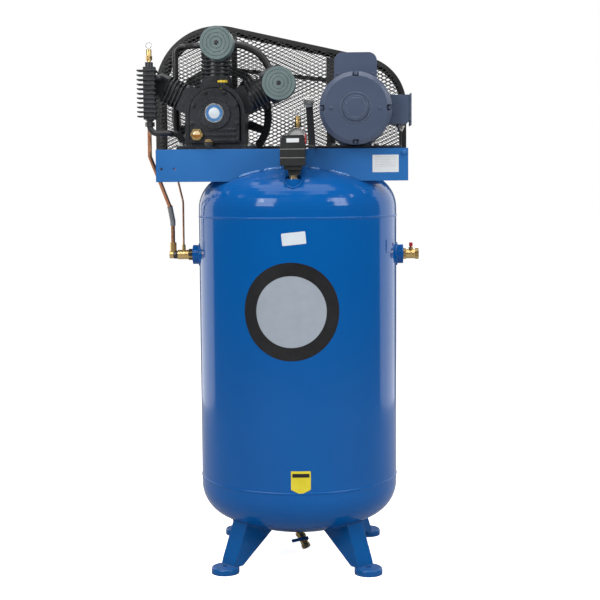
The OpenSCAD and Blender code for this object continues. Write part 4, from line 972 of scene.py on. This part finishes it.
# ---- Pressure switch ----
# A black moulded switch on a brass manifold over the dome, with a blank label, thin pale gaskets
# between its tiers, a red lever, a plated gauge behind it and a spring loaded relief valve.
moulded = finish("switch_plastic", [(0.008, 0.009, 0.009), (0.016, 0.018, 0.018)], (0.34, 0.46),
                 grain=700, relief=0.00010, cloud=20, edge=0.0016, dust=0.06)
red_dip = finish("red_dip", [(0.42, 0.015, 0.012), (0.55, 0.025, 0.02)], (0.25, 0.36), coat=0.3,
                 grain=500, relief=0.00003, cloud=30, edge=0.001)
blue_dip = finish("blue_dip", [(0.01, 0.07, 0.26), (0.015, 0.10, 0.34)], (0.28, 0.4), coat=0.3,
                  grain=500, relief=0.00003, cloud=30, edge=0.001)
needle_black = finish("needle_black", [(0.010, 0.010, 0.010), (0.016, 0.016, 0.016)], (0.3, 0.4), edge=0.0002)
dress(moulded, "switch_base", "switch_cap")
dress(red_dip, "switch_lever", "outlet_handle")
dress(blue_dip, "drain_handle")
dress(needle_black, "gauge_needle")
switch_low, switch_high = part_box("switch_cap")
switch_front, switch_back = float(switch_low[1]) - 0.001, float(switch_high[1]) + 0.001
gasket = finish("gasket_fibre", [(0.30, 0.29, 0.27), (0.38, 0.37, 0.34)], (0.6, 0.8), grain=1500, edge=0.0002)
proud, gasket_half = 0.0004, 0.0364
piece("switch_gaskets", *joined([
    box_piece((-gasket_half, switch_front - proud, z), (gasket_half, switch_back + proud, z + 0.0012), 0.0002)
    for z in (1.2634, 1.2385)
]), gasket, "switch_plastic")
label_low, label_high = (-0.017, switch_front + 0.0006, 1.283), (0.019, switch_front + 0.0014, 1.2945)
piece("switch_label", *box_piece(label_low, label_high, 0.0002), paper, "switch_plastic")
manifold = finish("manifold_brass", [(0.52, 0.38, 0.18), (0.70, 0.54, 0.28)], (0.26, 0.42), metallic=1.0,
                  grain=700, relief=0.00004, cloud=30, edge=0.001)
nipple_at = (0, switch_bung_y, 1.1785)
piece("bung_nipple", *joined([
    lathe([(0.0105, 0), (0.0115, 0.001), (0.0115, 0.0135), (0.0105, 0.0145)], nipple_at, upward, 6),
    lathe([(0.0102, 0.012), (0.0102, 0.0262)], nipple_at, upward, 40),
]), manifold, "brass")
bright = finish("bright_steel", [(0.60, 0.60, 0.60), (0.74, 0.74, 0.74)], (0.14, 0.24), metallic=1.0,
                edge=0.0005)
collar = [(0.0150, 0.0), (0.0200, 0.0002), (0.0208, 0.0014), (0.0180, 0.0024), (0.0110, 0.0026)]
piece("bung_collar", *lathe(collar, (0, switch_bung_y, 1.1776), upward, 64), bright, "tank_paint")

gauge_at = (0.008, -0.195, 1.297)
case = [(0.010, 0), (0.0295, 0), (0.0314, 0.0012), (0.0320, 0.0030), (0.0320, 0.0165), (0.0314, 0.0178),
        (0.0300, 0.0180), (0.0292, 0.0172), (0.0290, 0.0080), (0.0002, 0.0079)]
gauge_case = piece("gauge_case", *lathe(case, gauge_at, forward, 128), bright, "gauge_metal")
dial_white = finish("dial_white", [(0.78, 0.78, 0.76), (0.84, 0.84, 0.82)], (0.4, 0.5), edge=0.0001,
                    relief=0.000003)
face = [(0.0288, 0.0078), (0.0288, 0.0084), (0.0002, 0.0085)]
dial = piece("gauge_dial", *lathe(face, gauge_at, forward, 96), dial_white, "gauge_metal")
ticks = []
for tick in range(31):
    angle = radians(-135 + 9 * tick)
    inner, half = (0.0215, 0.0005) if tick % 5 == 0 else (0.0240, 0.00025)
    out, aside = np.array([np.sin(angle), np.cos(angle)]), np.array([np.cos(angle), -np.sin(angle)])
    flat = [out * reach + aside * half * side
            for reach, side in ((inner, -1), (inner, 1), (0.0268, 1), (0.0268, -1))]
    rims = [[(gauge_at[0] + p[0], gauge_at[1] - depth, gauge_at[2] + p[1]) for p in flat]
            for depth in (0.0084, 0.0088)]
    faces = [tuple(face) for face in grid_faces(2, 4)] + [(3, 2, 1, 0), (4, 5, 6, 7)]
    ticks.append((np.array(rims).reshape(-1, 3), faces))
marks = piece("gauge_ticks", *joined(ticks), needle_black, "needle_black")
glass = bpy.data.materials.new("gauge_glass")
glass.use_nodes = True
glass_shader = glass.node_tree.nodes["Principled BSDF"]
glass_shader.inputs["Roughness"].default_value = 0.03
glare = glass.node_tree.nodes.new("ShaderNodeFresnel")
glare.inputs["IOR"].default_value = 1.45
glass.node_tree.links.new(glare.outputs["Fac"], glass_shader.inputs["Alpha"])
pane = [(0.0002, 0.0150), (0.0290, 0.0150), (0.0290, 0.0168), (0.0150, 0.0174), (0.0002, 0.0176)]
gauge_lens = piece("gauge_lens", *lathe(pane, gauge_at, forward, 96), glass, "gauge_metal")
for part in (gauge_case, dial, marks, gauge_lens):
    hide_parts("pressure_gauge")


# Dark steel nipples join the brass to the tank.
copper = finish("copper", [(0.52, 0.22, 0.11), (0.68, 0.34, 0.19)], (0.22, 0.38), metallic=1.0,
                grain=500, relief=0.00003, cloud=26, edge=0.0006)
discharge = rounded(np.array([
    [-444, -48, 1416.5], [-450, -48, 1404], [-450, -48, 1250], [-421, -40, 1172], [-396, -8, 1094],
    [-389, 0, 1050], [-389, 0, 984]
]) / 1000, 0.026, 10)
unloader = rounded(np.array([
    [-356, 0, 977], [-356, 0, 1110], [-356, -150, 1200], [-356, -150, 1252], [-29, -150, 1252],
    [-29, -216, 1252]
]) / 1000, 0.020, 10)
left_y, head_reach = -0.048, 0.197
head_end = np.array([crank_x - head_reach * np.sin(bank), left_y, crank_z + head_reach * np.cos(bank)])
down = -np.array([np.cos(bank), 0, np.sin(bank)])
bends = piece("copper_bends", *joined([swept(discharge, 0.00635), swept(unloader, 0.0031, 20)]),
              copper, "copper")
union_nut = [(0.0112, 0), (0.0120, 0.001), (0.0120, 0.017), (0.0112, 0.018)]
union = piece("head_union", *lathe(union_nut, head_end + down * 0.038, down, 6), black_bolt, "copper")
for part in (bends, union):
    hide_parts("copper_tubes")
sleeve_cloth = finish("sleeve_grey", [(0.16, 0.17, 0.18), (0.24, 0.25, 0.26)], (0.6, 0.8), grain=900,
                      relief=0.00015, edge=0.0004)
sleeve_low, sleeve_high = 1.036, 1.150
sleeved = discharge[(discharge[:, 2] < sleeve_high) & (discharge[:, 2] > sleeve_low)]
sleeved = np.concatenate([sleeved, [[-0.389, 0, sleeve_low]]])
piece("tube_sleeve", *swept(sleeved, 0.0082, 24), sleeve_cloth, "copper")
bung_out = 0.326
dark_steel = finish("dark_steel", [(0.035, 0.035, 0.038), (0.07, 0.07, 0.074)], (0.28, 0.42), metallic=0.8,
                    grain=500, relief=0.00005, edge=0.0008, worn=(0.2, 0.2, 0.2))
outward = (-1, 0, 0)
nipple_hex = [(0.0178, -0.0002), (0.0184, 0.001), (0.0184, 0.0128), (0.0178, 0.0142)]
nipple_neck = [(0.0126, 0), (0.0128, 0.001), (0.0128, 0.013), (0.0122, 0.0140)]
piece("port_nipple", *joined([
    lathe(nipple_hex, (-bung_out, 0, port_z), outward, 6),
    lathe(nipple_neck, (-0.3735, 0, port_z), outward, 48),
]), dark_steel, "brass")
handle_top = float(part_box("outlet_handle")[1][2]) - 0.0036
handle_nut = [(0.0052, 0), (0.0058, 0.0006), (0.0058, 0.0022), (0.0052, 0.0028)]
piece("handle_nut", *lathe(handle_nut, (0.350, 0, handle_top), upward, 6),
      zinc, "red_plastic", "outlet_handle_body")


# ---- Running gear ----
# Inside the pump and the motor: a forged crankshaft on ball bearings, rods, cast pistons with rings,
# and a laminated stator and rotor. They are turned or ground, and lightly oiled.
machined = finish("machined_steel", [(0.44, 0.45, 0.47), (0.58, 0.59, 0.61)], (0.18, 0.32), metallic=1.0,
                  grain=1400, relief=0.000012, cloud=50, edge=0.0006)
piston_metal = finish("piston_metal", [(0.66, 0.67, 0.69), (0.78, 0.79, 0.80)], (0.24, 0.38), metallic=1.0,
                      grain=800, relief=0.00003, cloud=40, edge=0.0008)
winding = finish("winding", [(0.22, 0.11, 0.05), (0.34, 0.19, 0.09)], (0.35, 0.55), metallic=0.5,
                 grain=900, relief=0.00012, cloud=60, edge=0.0006)
dress(machined, "crankshaft", "main_bearings", "connecting_rods", "motor_rotor", "check_disc")
dress(piston_metal, "piston_centre", "piston_left", "piston_right")
dress(winding, "motor_stator")
